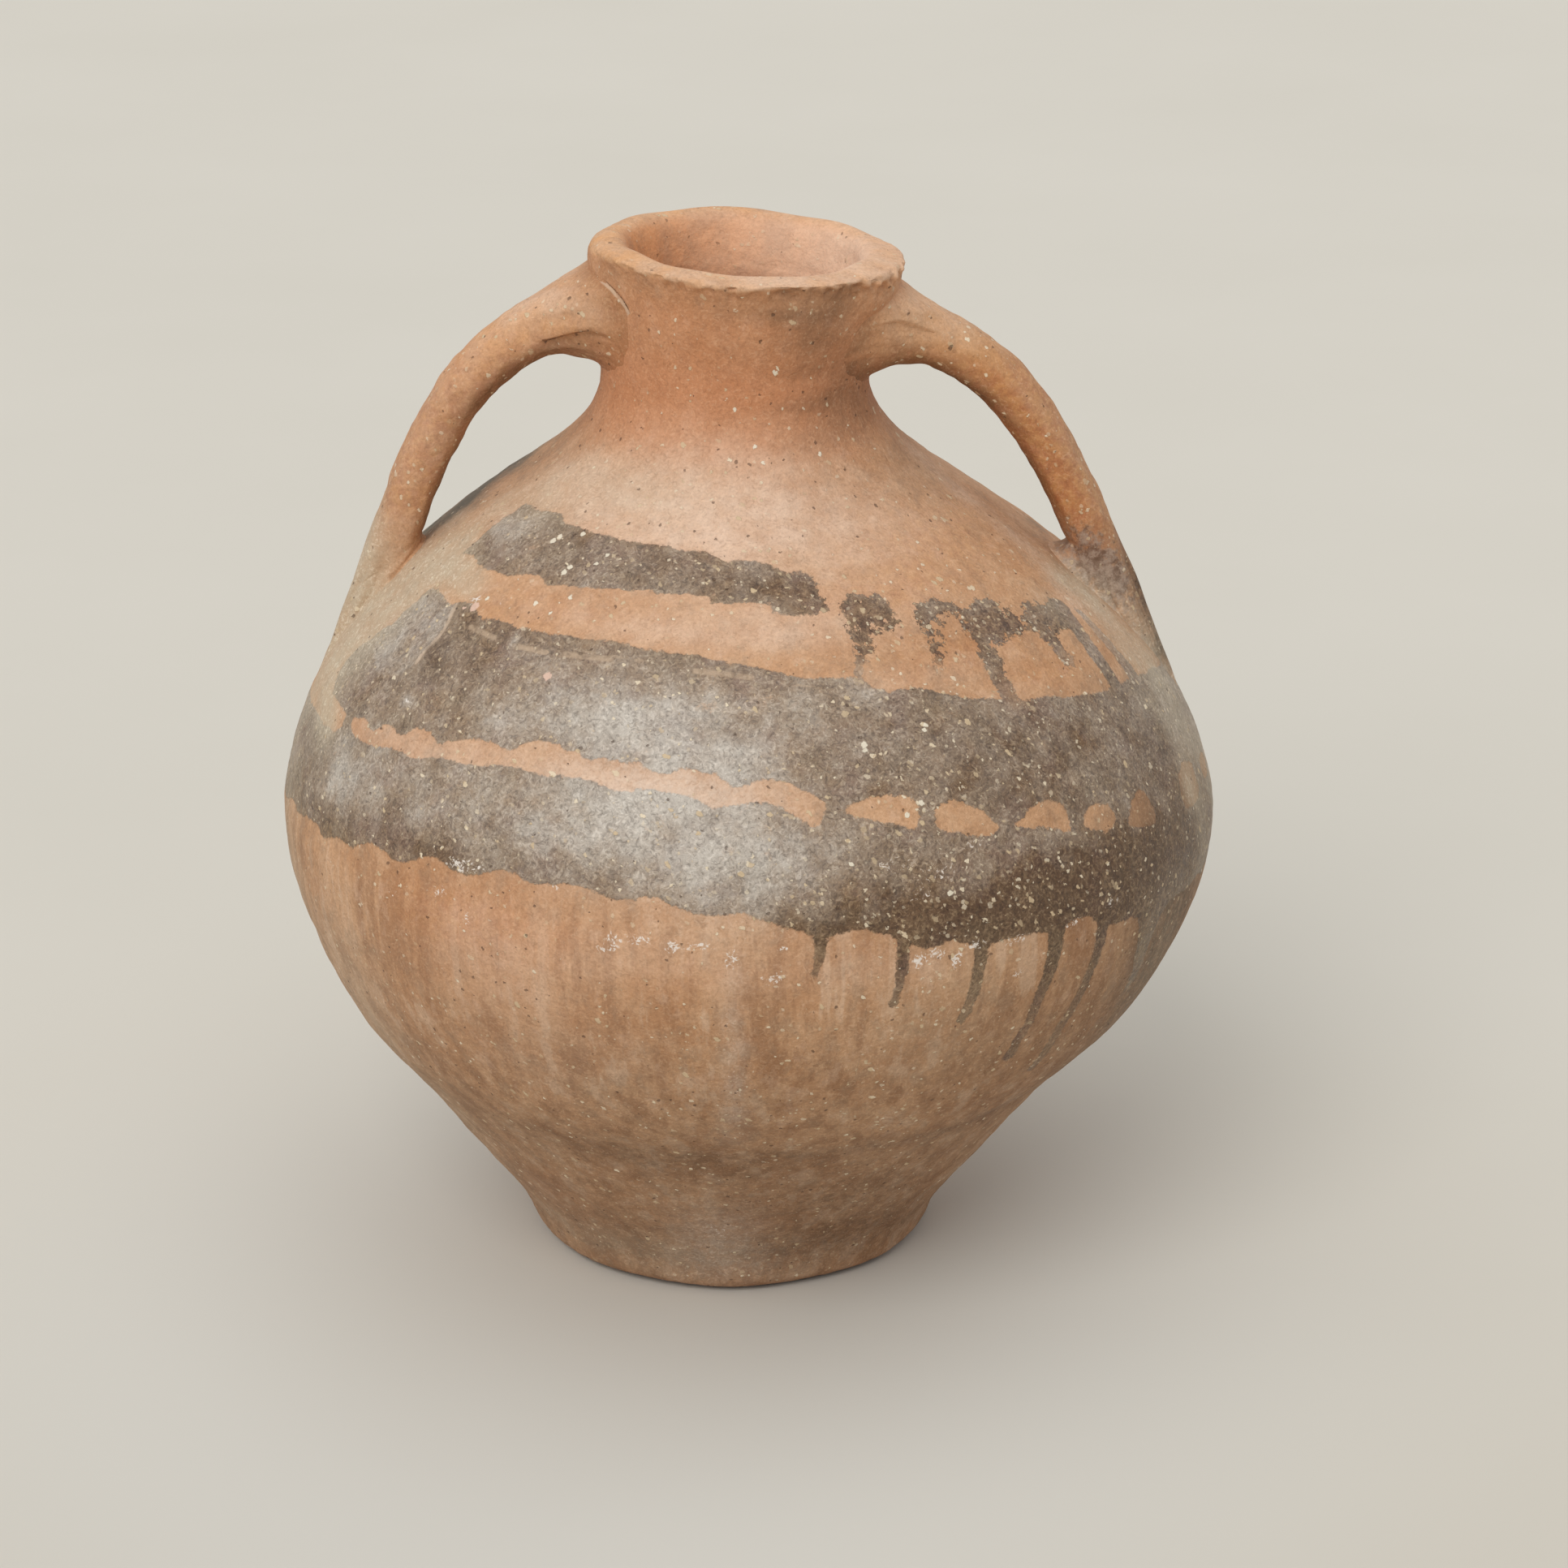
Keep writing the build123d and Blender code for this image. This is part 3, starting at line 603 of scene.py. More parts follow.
# painted shade, mostly over the right side away from the light, with some darker patches of slip on the left and the
# far side
SHADE_AND_DARK_TONE = [
    (50, 205, 50, 20, .55), (40, 224, 30, 8, .30), (36, 172, 50, 34, .38), (-18, 330, 30, 8, .10), (-52, 288, 16, 12, .15), (60, 176, 40, 50, .34),
    (28, 212, 60, 14, .75), (46, 206, 44, 18, .75), (64, 200, 30, 20, .65), (12, 222, 24, 10, .35),
    (44, 262, 60, 18, .45), (68, 246, 30, 34, .55), (30, 276, 40, 12, .30), (6, 327, 26, 8, .45),
    (-36, 331, 40, 7, .20), (28, 312, 20, 12, .10), (44, 306, 30, 14, .12),
    (-52, 292, 9, 12, .45), (-44, 290, 14, 10, .30), (-64, 222, 20, 6, .35), (-40, 229, 40, 5, .40),
    (-18, 231, 30, 6, .35), (130, 220, 90, 40, .45), (-150, 215, 70, 30, .35),
]
GRIT = [
    (40, 300, 60, 30, .8), (35, 262, 80, 24, .8), (35, 218, 80, 20, .9), (0, 250, 60, 30, .3),
    (-40, 332, 60, 10, .4), (8, 326, 24, 8, .8), (-40, 300, 60, 12, .3),
]
CRUMB = [
    (26, 314, 14, 12, 1.0), (24, 303, 8, 9, .60), (40, 308, 16, 12, 1.0), (52, 303, 16, 12, 1.0), (62, 300, 12, 10, .70),
    (36, 300, 8, 10, .60), (44, 288, 8, 14, .50), (15, 324, 12, 8, .60), (60, 288, 8, 10, .40), (-46, 306, 30, 4, .30),
]
THIN = [
    (22, 300, 6, 5, .60), (34, 296, 6, 5, .65), (44, 284, 6, 8, .30), (60, 285, 6, 6, .45), (72, 285, 9, 16, .45),
    (8, 198, 4, 7, .30), (17.5, 182, 4, 6, .25), (26.5, 170, 4, 8, .30), (37, 150, 6, 20, .38), (43.5, 146, 6, 34, .45),
]
NODULES = [  # single pale grains: angle, height, radius
    (-39, 315.5, 1.3), (-34.8, 314, .9), (-32.2, 319.5, 1.1), (-45.5, 333.5, 1.5), (-44.6, 335.3, 1.2), (-36.8, 326, 1.3),
    (-36.0, 327.7, 1.1), (-30.2, 330, 1.0), (-38.8, 337.5, 1.2), (-28.8, 333, 1.0), (.2, 384.5, .9), (16, 400, .9),
    (8.8, 370, .9), (11.8, 364, .9), (34.5, 364.5, 1.1), (27.5, 280.5, 1.1), (27.1, 279, .9), (21.2, 252, 1.3),
    (23.5, 255.5, 1.3), (17.8, 277, 1.4), (17.7, 275.2, 1.0), (13.2, 237, 1.1), (24.8, 222, 1.2), (-50.4, 312.6, 1.0),
]
ROSE = [(-51.8, 309, 2.2), (-30.2, 295.5, 1.9), (-54, 307.4, 1.0)]
SCUFF = [
    (-15, 208, 3, 3, .9), (-12, 209, 5, 2, .8), (-8, 207, 4, 2, .9), (-5, 208, 5, 1.6, .8), (-1.5, 203, 3, 4, .8),
    (-16, 204, 4, 2, .7), (3, 195, 4, 2.5, .9), (4.5, 207, 3, 1.2, .8), (20, 197, 3, 3, .9), (22, 199, 4, 2.5, .9),
    (24.5, 195, 3, 3, .9), (27, 200, 5, 2, .7), (33, 183, 3, 1.5, .7), (-36, 226, 6, 3, .8), (-33, 227, 5, 2, .7),
    (18, 236, 10, 5, .34), (24, 230, 12, 5, .38), (21, 223, 8, 4, .34), (29, 238, 6, 4, .30), (-53, 276, 5, 3, .40),
    (33, 198, 8, 2, .6), (41, 198, 6, 2, .6), (-1.4, 150, 3, 5, .30), (-22, 225, 4, 2, .5),
    (-28, 150, 3, 2, .5), (-38, 180, 2.5, 1.6, .5), (-53, 274.6, 3, 1, .5),
    (-.6, 138, 3, 5, .30), (-2, 176, 3, 4, .28),
    (-38, 213, 4, 4, .5), (-34, 206, 3, 5, .45), (-46, 206, 4, 3, .4), (-3, 40, 8, 12, .35), (4, 2.5, 2, 1.6, .9),
    (-20, 3, 1.6, 1.2, .7), (16, 3, 2, 1.2, .6), (-8, 4, 1.2, 1, .6), (-53, 311, 3, 3, .8), (-46, 312, 2.4, 1.5, .6), (48, 200, 6, 1.4, .6), (-66, 219, 5, 2, .4),
]


def field(blobs, th, z):
    total = np.zeros(th.shape)
    s = along(np.minimum(z, 429))
    for t0, z0, w, h, amount in blobs:
        r = float(RADIUS(min(z0, 430)))
        x = np.radians(delta(th, t0)) * r
        y = s - float(along(min(z0, 429)))
        total = 1 - (1 - total) * (1 - amount * np.exp(-(x / w) ** 2 - (y / h) ** 2))
    return total


def line_field(th, z, points, fade):
    """Signed offset in mm from a thin line drawn on the wall, far from it 9."""
    p = np.array(points, float)
    zl = np.interp(th, p[:, 0], p[:, 1])
    off = along(z) - along(zl)
    ends = smooth(p[0, 0] - fade, p[0, 0] + fade, th) * (1 - smooth(p[-1, 0] - fade, p[-1, 0] + fade, th))
    return np.where(ends > 0, np.clip(off, -9, 9) / np.maximum(ends, .05), 9.0).clip(-9, 9)


PANEL = [(-56.2, 306.5), (-55.2, 296.5), (-56.2, 286.5), (-58.5, 281), (-63, 277), (-69, 282), (-72, 289),
         (-69, 303), (-62, 309)]
CREASES = [
    [(-56.6, 307.5), (-55.3, 300), (-55.2, 296.5), (-56.2, 286.5)],
]


def crease_field(th, z, lines):
    out = np.full(th.shape, 9.0)
    s = along(z)
    for line in lines:
        p = np.array(line, float)
        for (t0, z0), (t1, z1) in zip(p[:-1], p[1:]):
            r = float(RADIUS((z0 + z1) / 2))
            x0, y0 = np.radians(t0 - th) * r, float(along(z0)) - s
            dx, dy = math.radians(t1 - t0) * r, float(along(z1) - along(z0))
            q = np.clip(-(x0 * dx + y0 * dy) / (dx * dx + dy * dy), 0, 1)
            out = np.minimum(out, np.hypot(x0 + q * dx, y0 + q * dy))
    return np.minimum(out, 9.0)


DASHES = [[(-49.6, 303.2), (-46.4, 303), (-43.2, 302.6)], [(-38.6, 302), (-35, 302.4), (-32, 302.4)],
          [(-28.6, 303), (-24.2, 303.2), (-20.4, 303.4)], [(-6, 301.8), (-1, 301), (3, 300)]]
SCORE_B = [(-28, 304.8), (-20, 304.4), (-12, 303.6), (-4, 302), (4, 299.6), (12, 296.6)]


def body_fields(th, z, outer):
    """Named fields at points of the wall; outer is 1 on the outside, 0 inside."""
    f = {
        "paint": np.where(outer > .5, paint_field(th, np.clip(z, 0, 429)), -8.0),
        "haze_and_highlight": field(HAZE_AND_HIGHLIGHT, th, z) * outer,
        "dust": field(DUST, th, z) * outer,
        "handle_shade": field(HANDLE_SHADE, th, z) * outer,
        # browner towards the bottom, below about 140 mm and again below 205 mm: partly staining, partly painted shade
        # on the down-facing lower body
        "brown_and_shade": 1 - (1 - field(BROWN_AND_SHADE, th, z)) * (1 - .16 * (1 - smooth(70, 140, z))) * (1 - .12 * (1 - smooth(150, 205, z))),
        "pale": field(PALE_AND_LIT, th, z) * outer + .35 * (1 - outer),
        "red": np.where(outer > .5, field(RED, th, z), .45),
        "grit": field(GRIT, th, z) * outer,
        "scuff": field(SCUFF, th, z) * outer,
        "shade_and_dark_tone": field(SHADE_AND_DARK_TONE, th, z) * outer,
        "warm": field(WARM, th, z) * outer,
        "score_a": np.where(outer > .5, crease_field(th, z, DASHES), 9),
        "score_b": np.where(outer > .5, line_field(th, z, SCORE_B, 2.0), 9),
        "smear": np.zeros(th.shape),
        "crease": np.where(outer > .5, crease_field(th, z, CREASES), 9),
        "mouth": np.zeros(th.shape),
        "crumb": field(CRUMB, th, z) * outer,
        "top_tone_and_light": np.zeros(th.shape),
        "thin": field(THIN, th, z) * outer,
        "crack": np.full(th.shape, 9.0),
    }
    panel = inside_by(PANEL, th.ravel(), z.ravel()).reshape(th.shape)
    f["haze_and_highlight"] = np.maximum(f["haze_and_highlight"], .34 * smooth(-.5, .5, panel) * outer)
    f["brown_and_shade"] = f["brown_and_shade"] * (outer + .15 * (1 - outer))
    return f


# ------------------------------------------------------------------ meshes
def make_piece(name, verts, faces, normals, fields, nodes):
    mesh = bpy.data.meshes.new(name)
    mesh.from_pydata((verts * MM).tolist(), [], [f for f in faces])
    mesh.update()
    for key, values in fields.items():
        a = mesh.attributes.new(key, "FLOAT", "POINT")
        a.data.foreach_set("value", np.asarray(values, np.float32).ravel())
    mesh.polygons.foreach_set("use_smooth", np.ones(len(mesh.polygons), bool))
    if normals is not None:
        mesh.normals_split_custom_set_from_vertices(normals.tolist())
    obj = bpy.data.objects.new(name, mesh)
    scene.collection.objects.link(obj)
    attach(obj, "root")
    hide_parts(*nodes)
    return obj


def loop_faces(rows, cols, close_rows):
    """Quads of a grid that wraps round in columns, and in rows if asked."""
    r = np.arange(rows if close_rows else rows - 1)
    c = np.arange(cols)
    a = r[:, None] * cols + c
    b = r[:, None] * cols + (c + 1) % cols
    n = (r[:, None] + 1) % rows
    return np.stack([a, b, n * cols + (c + 1) % cols, n * cols + c], -1).reshape(-1, 4)


JOINTS = [  # node above the joint, height and radius of a point on its cone, slope
    ("foot_wall", 13.0, 75.0, -9 / 21), ("lower_wall", 42, 104, -.15), ("lower_belly", 109, 160, -.20),
    ("belly_band", 158, 186, -.60), ("upper_belly", 208, 193, -.55), ("shoulder_band", 252, 178, -.25),
    ("upper_shoulder", 318, 114, .15), ("neck", 369, 55, .45), ("rim_lip", 419, 55, -.35),
]
top_row = int(np.argmax(row_a[:, 1]))


def joint_rows(z0, r0, slope):
    gap = row_a[:, 1] - (z0 + slope * (row_a[:, 0] - r0))
    out_rows = np.arange(int(np.searchsorted(row_t, t_edge)), top_row)
    in_rows = np.arange(top_row, ROWS - 2)
    io = out_rows[np.argmin(np.abs(gap[out_rows]))]
    ii = in_rows[np.argmin(np.abs(gap[in_rows]))]
    return int(io), int(ii)


cuts = [joint_rows(z, r, k) for _, z, r, k in JOINTS]
floor_row = int(np.argmin(np.abs(row_a[top_row:, 0] - 75.0) + 40 * (row_a[top_row:, 1] > 60)) + top_row)
cuts[0] = (cuts[0][0], floor_row)

outer_flag = np.where((row_t <= t_top)[:, None], 1.0, 0.0) * np.ones((1, COLUMNS))
top_flag = smooth(edge_t - .4, edge_t + 1.6, row_t)[:, None] * np.ones((1, COLUMNS))
in_flag = smooth(t_top + 1, t_top + 9, row_t)[:, None] * np.ones((1, COLUMNS))
FIELDS = body_fields(np.array(TH), np.minimum(ZP, 429.0), outer_flag)
turn_right = np.sin(np.radians(TH))
# the lip's top: pale all round, paler still at the front as a painted highlight
lip_front_highlight = np.exp(-(delta(TH, 10) / 50) ** 2)
TOP = {"pale": .40 + .25 * lip_front_highlight + .10 * turn_right, "red": .20 + .15 * turn_right, "brown_and_shade": .04 - .02 * turn_right}
# inside the mouth, painted light and shade: paler and less red on the lit right inner wall, browner on the left one,
# which lies in the lip's shadow
INSIDE = {"pale": .62 + .33 * turn_right, "red": .45 - .15 * turn_right, "brown_and_shade": .14 - .14 * turn_right}
for key, blobs in (("pale", PALE_AND_LIT), ("red", RED), ("brown_and_shade", None)):
    outside = FIELDS["brown_and_shade"] if blobs is None else field(blobs, np.array(TH), ZP)
    value = outside * (1 - top_flag) + TOP[key] * top_flag
    FIELDS[key] = value * (1 - in_flag) + INSIDE[key] * in_flag
# the lip's top lighter and more orange-tan, a little less so on the right: partly its own colour, partly painted light
FIELDS["top_tone_and_light"] = top_flag * (1 - in_flag) * (.62 - .10 * turn_right)
FIELDS["mouth"] = in_flag * smooth(330, 380, ZP)
# painted shade: browner deeper down inside the neck
shade_and_dark_tone = smooth(380, 300, ZP) * (1 - outer_flag)
FIELDS["brown_and_shade"] = np.maximum(FIELDS["brown_and_shade"], .35 * shade_and_dark_tone)

order = ["base_disc"] + [j[0] for j in JOINTS]
pieces = {}
for k, name in enumerate(order):
    if name == "base_disc":
        rows = list(range(1, cuts[0][0] + 1)) + list(range(cuts[0][1], ROWS - 1))
        verts = np.concatenate([GRID[rows].reshape(-1, 3), GRID[0, :1], GRID[-1, :1]])
        normals = np.concatenate([NORMAL[rows].reshape(-1, 3), NORMAL[0, :1], NORMAL[-1, :1]])
        faces = loop_faces(len(rows), COLUMNS, False).tolist()
        lo, hi = len(rows) * COLUMNS, len(rows) * COLUMNS + 1
        last = (len(rows) - 1) * COLUMNS
        faces += [[lo, (i + 1) % COLUMNS, i] for i in range(COLUMNS)]
        faces += [[hi, last + i, last + (i + 1) % COLUMNS] for i in range(COLUMNS)]
        fields = {f: np.concatenate([v[rows].ravel(), v[0, :1], v[-1, :1]]) for f, v in FIELDS.items()}
    else:
        io, ii = cuts[k - 1]
        if name == "rim_lip":
            rows = list(range(io, ii + 1))
        else:
            jo, ji = cuts[k]
            rows = list(range(io, jo + 1)) + list(range(ji, ii + 1))
        verts = GRID[rows].reshape(-1, 3)
        normals = NORMAL[rows].reshape(-1, 3)
        faces = loop_faces(len(rows), COLUMNS, True).tolist()
        fields = {f: v[rows].ravel() for f, v in FIELDS.items()}
    pieces[name] = make_piece("jar_" + name, verts, faces, normals, fields, [name])

# coil pressed into the inside corner
coil_lo, coil_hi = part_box("base_seam_coil")
coil_r = (coil_hi.x - coil_lo.x) / 2 / MM - 4.0
coil_a = np.linspace(0, 2 * np.pi, 40, endpoint=False)
coil_cols = 240
coil_th = -180 + 360 * np.arange(coil_cols) / coil_cols
coil_wave = waves(19, 30, (3, 40), (20, 60))
in_r = row_a[top_row:][::-1]
cr = coil_r + 7.4 * np.cos(coil_a)[:, None] + 0.5 * coil_wave(coil_th[None, :], 9 * coil_a[:, None])
cz = 15 + 7.6 * np.sin(coil_a)[:, None] + 0.4 * coil_wave(coil_th[None, :] + 50, 9 * coil_a[:, None])
cz = np.maximum(cz, 12.9 + 0.05 * np.sin(coil_a)[:, None])
wall_in = np.interp(cz, in_r[in_r[:, 1] > 13.4][:, 1], in_r[in_r[:, 1] > 13.4][:, 0])
cr = np.minimum(cr, np.where(cz > 13.4, wall_in, 76.0) + .6)
coil_p = place(cr, cz, np.broadcast_to(coil_th, cr.shape))
coil_f = {k: np.full(cr.size, {"paint": -8.0, "score_a": 9.0, "score_b": 9.0, "crease": 9.0, "crack": 9.0, "pale": .3, "red": .4,
                               "brown_and_shade": .35}.get(k, 0.0)) for k in FIELDS}
pieces["base_seam_coil"] = make_piece("jar_base_seam_coil", coil_p.reshape(-1, 3),
                                      loop_faces(len(coil_a), coil_cols, True).tolist(), None, coil_f,
                                      ["base_seam_coil"])

# ------------------------------------------------------------------ handles
LEFT = [(-42, 408.5, 30, 37), (-52, 408.6, 29.5, 36), (-62, 409.2, 26.5, 34), (-73.8, 406.8, 24.5, 31),
        (-88.1, 399.4, 22.6, 29), (-102.3, 387.7, 21.4, 28), (-113.7, 373.9, 21.2, 27.5),
        (-122.6, 359.2, 20.6, 27.5), (-129.6, 344.6, 20.6, 27.5), (-135.7, 329.6, 20.8, 27.5),
        (-141.6, 314.8, 20.8, 28), (-148, 300.3, 20.4, 28.5), (-154.4, 287, 19.4, 29), (-160.6, 274, 17.6, 28),
        (-165.8, 262, 15, 25), (-170.3, 251, 11, 21), (-172.6, 240, 7, 17)]
RIGHT = [(48, 399.6, 31, 37), (58, 401.4, 30, 36), (68, 403.2, 27, 34), (79.2, 402.1, 24.6, 31),
         (92.9, 396.1, 22.4, 29), (107.8, 385.8, 21.8, 28), (121, 372.3, 21.6, 27.5), (131, 357.9, 21, 27.5),
         (139, 343.3, 20.7, 27.5), (146, 328.6, 20.5, 27.5), (152.7, 313.9, 20.3, 28), (159.6, 300, 19.8, 28.5),
         (165.4, 287, 18.8, 29), (170.6, 274.5, 17, 28), (175.2, 262.5, 14.6, 25), (179.6, 251.5, 11, 21),
         (182, 241, 7, 17)]
AROUND = 112
vv = 2 * np.pi * np.arange(AROUND) / AROUND


def soft_power(c, p):
    return np.sign(c) * np.abs(c) ** (2 / p)


class Bar:
    """A pulled clay bar: rings along its line, from the neck to the shoulder."""

    def __init__(self, stations, side, seed):
        st = np.array(stations, float)
        self.t = np.concatenate([[0], np.cumsum(np.hypot(*np.diff(st[:, :2], axis=0).T))])
        self.f = [spline(self.t, st[:, i]) for i in range(4)]
        self.side = side
        self.lump = waves(seed, 26, (1, 4), (18, 70))
        self.fine = waves(seed + 1, 50, (3, 16), (5, 26))
        self.groove = waves(seed + 2, 16, (3, 9), (120, 400))

    def ring(self, u, shrink=0.0):
        u = np.atleast_1d(np.asarray(u, float))
        x, z, a, b = (g(u) for g in self.f)
        e = 0.25
        tx, tz = self.f[0](u + e) - self.f[0](u - e), self.f[1](u + e) - self.f[1](u - e)
        n = np.hypot(tx, tz)
        tx, tz = tx / n, tz / n
        nx, nz = self.side * tz, -self.side * tx
        deg = np.degrees(vv)[None, :]
        uu = u[:, None]
        d = (0.24 * self.lump(deg, uu) + 0.14 * self.fine(deg, uu) + 0.20 * self.groove(deg, uu)) - shrink
        ca = (a[:, None] / 2 + d) * soft_power(np.cos(vv), 2.35)
        sb = (b[:, None] / 2 + d) * soft_power(np.sin(vv), 2.35)
        return np.stack([x[:, None] + ca * nx[:, None], -sb, z[:, None] + ca * nz[:, None]], -1)

    def heading(self, u):
        e = 0.25
        v = np.array([float(self.f[0](u + e) - self.f[0](u - e)), 0, float(self.f[1](u + e) - self.f[1](u - e))])
        return v / np.linalg.norm(v)


def to_wall(p):
    """Angle and height of points near the wall."""
    th = np.degrees(np.arctan2(p[..., 0] - CENTRE(p[..., 2]), -p[..., 1]))
    return th, np.clip(p[..., 2], 0, 429)


def handle_fields(p, kind, side):
    th, z = to_wall(p)
    flat = th.ravel(), z.ravel()
    zero = np.zeros(flat[0].shape)
    zz = p[..., 2].ravel()
    f = {k: zero.copy() for k in FIELDS}
    f["paint"] = zero - 8
    f["score_a"] = zero + 9
    f["score_b"] = zero + 9
    f["crease"] = zero + 9
    f["crack"] = zero + 9
    run = np.array(sorted((z, x) for x, z, *_ in (LEFT if side > 0 else RIGHT) if z < 405))
    off = np.clip((p[..., 0].ravel() - np.interp(zz, run[:, 0], run[:, 1])) / 11, -1.2, 1.2)
    if side > 0:
        f["dust"] = 1.0 * (1 - smooth(284, 326, zz + 22 * off))
        f["pale"] = .32 * smooth(400, 422, zz) + .24 + .04 * smooth(370, 400, zz)
        f["red"] = .25 * smooth(330, 400, zz)
        f["brown_and_shade"] = .06 + zero
        # painted light near the top of the bar, close to its upper root
        f["top_tone_and_light"] = .55 * smooth(372, 412, zz)
        f["warm"] = .70 * smooth(306, 338, zz) * (1 - .6 * smooth(395, 415, zz))
    else:
        f["dust"] = .60 * (1 - smooth(266, 292, zz))
        fr = np.clip(-p[..., 1].ravel() / 14, -1, 1)
        lean = p[..., 0].ravel() - (156.5 + .46 * (306 - zz))
        f["smear"] = np.exp(-((zz - 302) / 22) ** 2) * np.exp(-(lean / np.where(lean < 0, 18, 10)) ** 2) * (.66 + .34 * fr)
        # painted shade near the right bar's lower end
        f["handle_shade"] = .45 * (1 - smooth(262, 288, zz)) * smooth(236, 262, zz)
        f["pale"] = .25 * smooth(395, 415, zz) + .10
        f["red"] = .10 + zero
        # painted light near the top of the bar, close to its upper root
        f["top_tone_and_light"] = .45 * smooth(372, 404, zz)
        f["brown_and_shade"] = .12 + .44 * (1 - smooth(290, 335, zz)) * smooth(250, 275, zz)
        f["warm"] = 1.0 * smooth(290, 330, zz) * (1 - smooth(385, 402, zz))
    away = np.hypot(p[..., 0] - CENTRE(p[..., 2]), p[..., 1]).ravel() - RADIUS(flat[1])
    near = np.exp(-np.maximum(away, 0) / 9.0)
    for key, blobs in (("red", RED), ("pale", PALE_AND_LIT), ("brown_and_shade", BROWN_AND_SHADE)):
        f[key] = f[key] * (1 - near) + field(blobs, *flat) * near
    px = p[..., 0].ravel()
    # painted light and shade on each bar: its top paler, its underside and the side facing the jar warmer and browner,
    # darkest along the lowest edge
    by_x = np.array(sorted((x, z) for x, z, *_ in (LEFT if side > 0 else RIGHT)))
    rise = np.clip((zz - np.interp(px, by_x[:, 0], by_x[:, 1])) / 11, -1.2, 1.2)
    arch = smooth(345, 380, zz) * (1 - .5 * near)
    under, over = smooth(.25, -.65, rise), smooth(.05, .80, rise)
    shaded_side = np.maximum(under * arch, smooth(.25, 1.0, side * off) * (1 - arch)) * smooth(300, 324, zz)
    f["warm"] = np.maximum(f["warm"], .85 * shaded_side)
    dark = np.maximum(smooth(-.20, -1.0, rise) * arch, smooth(.50, 1.10, side * off) * (1 - arch) * smooth(306, 330, zz))
    f["brown_and_shade"] = f["brown_and_shade"] + .22 * shaded_side + .42 * dark
    f["pale"] = f["pale"] + (.08 if side > 0 else .04) * over * arch
    if side < 0:
        # the right bar's outer and upper side less orange and dustier: dust, and painted light on the lit side
        outside = smooth(.15, 1.0, off) * (1 - arch) * smooth(300, 330, zz) + .6 * over * arch
        f["warm"] = f["warm"] * (1 - .30 * outside)
        f["dust"] = np.maximum(f["dust"], .12 * outside)
    f["grit"] = .85 * (1 - near)
    f["top_tone_and_light"] = f["top_tone_and_light"] * (1 - .8 * near) * (1 - .75 * under)
    if side < 0:
        low = near * (1 - smooth(296, 316, zz))
        f["dust"] = np.maximum(f["dust"], .55 * low)
        f["haze_and_highlight"] = .40 * near * (1 - smooth(312, 330, zz))
        f["warm"] = f["warm"] * (1 - .7 * low)
        across = p[..., 1].ravel()
        edge = smooth(-10, -3, across) * smooth(22, 2, across) * smooth(1.0, .70, near)
        edge = edge * (1 - smooth(306, 326, zz)) * smooth(232, 256, zz)
        f["brown_and_shade"] = f["brown_and_shade"] + .36 * edge
        f["dust"] = f["dust"] * (1 - .55 * edge)
        f["haze_and_highlight"] = f["haze_and_highlight"] * (1 - .50 * edge)
    return f


def closed_torus(outer, inner):
    """Vertices of a skin: its outer rows, then its inner rows back again."""
    return np.concatenate([outer, inner[::-1]])


def flare(bar, u0, foot, k1, k2, straight, side, rows=46):
    """Clay smeared from a bar's ring down on to the wall, as a thick skin."""
    ring = bar.ring([u0])[0]
    back = -bar.heading(u0) if foot["upper"] else bar.heading(u0)
    th, z = foot["line"](vv)
    end = outer_point(th, z, 0.35)
    e = 0.6
    mid_th, mid_z = foot["centre"]
    # direction on the wall, away from the middle of the root
    r = RADIUS(z)
    away_x = np.radians(delta(th, mid_th)) * r
    away_s = along(z) - along(mid_z)
    n = np.maximum(np.hypot(away_x, away_s), 1e-6)
    dth = np.degrees(away_x / n / r) * e
    ds = away_s / n * e
    z2 = np.interp(along(z) + ds, _s, _z)
    away = unit(outer_point(th + dth, z2, 0.35) - end)
    gap = np.linalg.norm(end - ring, axis=1)[:, None]
    line = unit(end - ring)
    t2 = unit(away * (1 - straight[:, None]) + line * straight[:, None])
    k = np.linspace(0, 1, rows)
    k = k[:, None, None]
    h00, h10 = 2 * k ** 3 - 3 * k ** 2 + 1, k ** 3 - 2 * k ** 2 + k
    h01, h11 = -2 * k ** 3 + 3 * k ** 2, k ** 3 - k ** 2
    p = h00 * ring + h10 * (k1[:, None] * gap) * back + h01 * end + h11 * (k2[:, None] * gap) * t2
    deg = np.degrees(vv)[None, :]
    body = (np.sin(np.pi * np.clip(k[..., 0], 0, 1)) ** .8)
    normal = grid_normals(p)
    centre = p.mean(axis=(0, 1))
    if ((p[2] - p[2].mean(0)) * normal[2]).sum() < 0:
        normal = -normal
    p = p + normal * (body * foot["relief"](deg, 40 * k[..., 0]))[..., None]
    normal = grid_normals(p)
    if ((p[2] - p[2].mean(0)) * normal[2]).sum() < 0:
        normal = -normal
    thick = np.interp(np.linspace(0, 1, rows), [0, .8, 1], [2.2, 2.0, 1.2])[:, None, None]
    inner = p - normal * thick
    return p, inner, normal


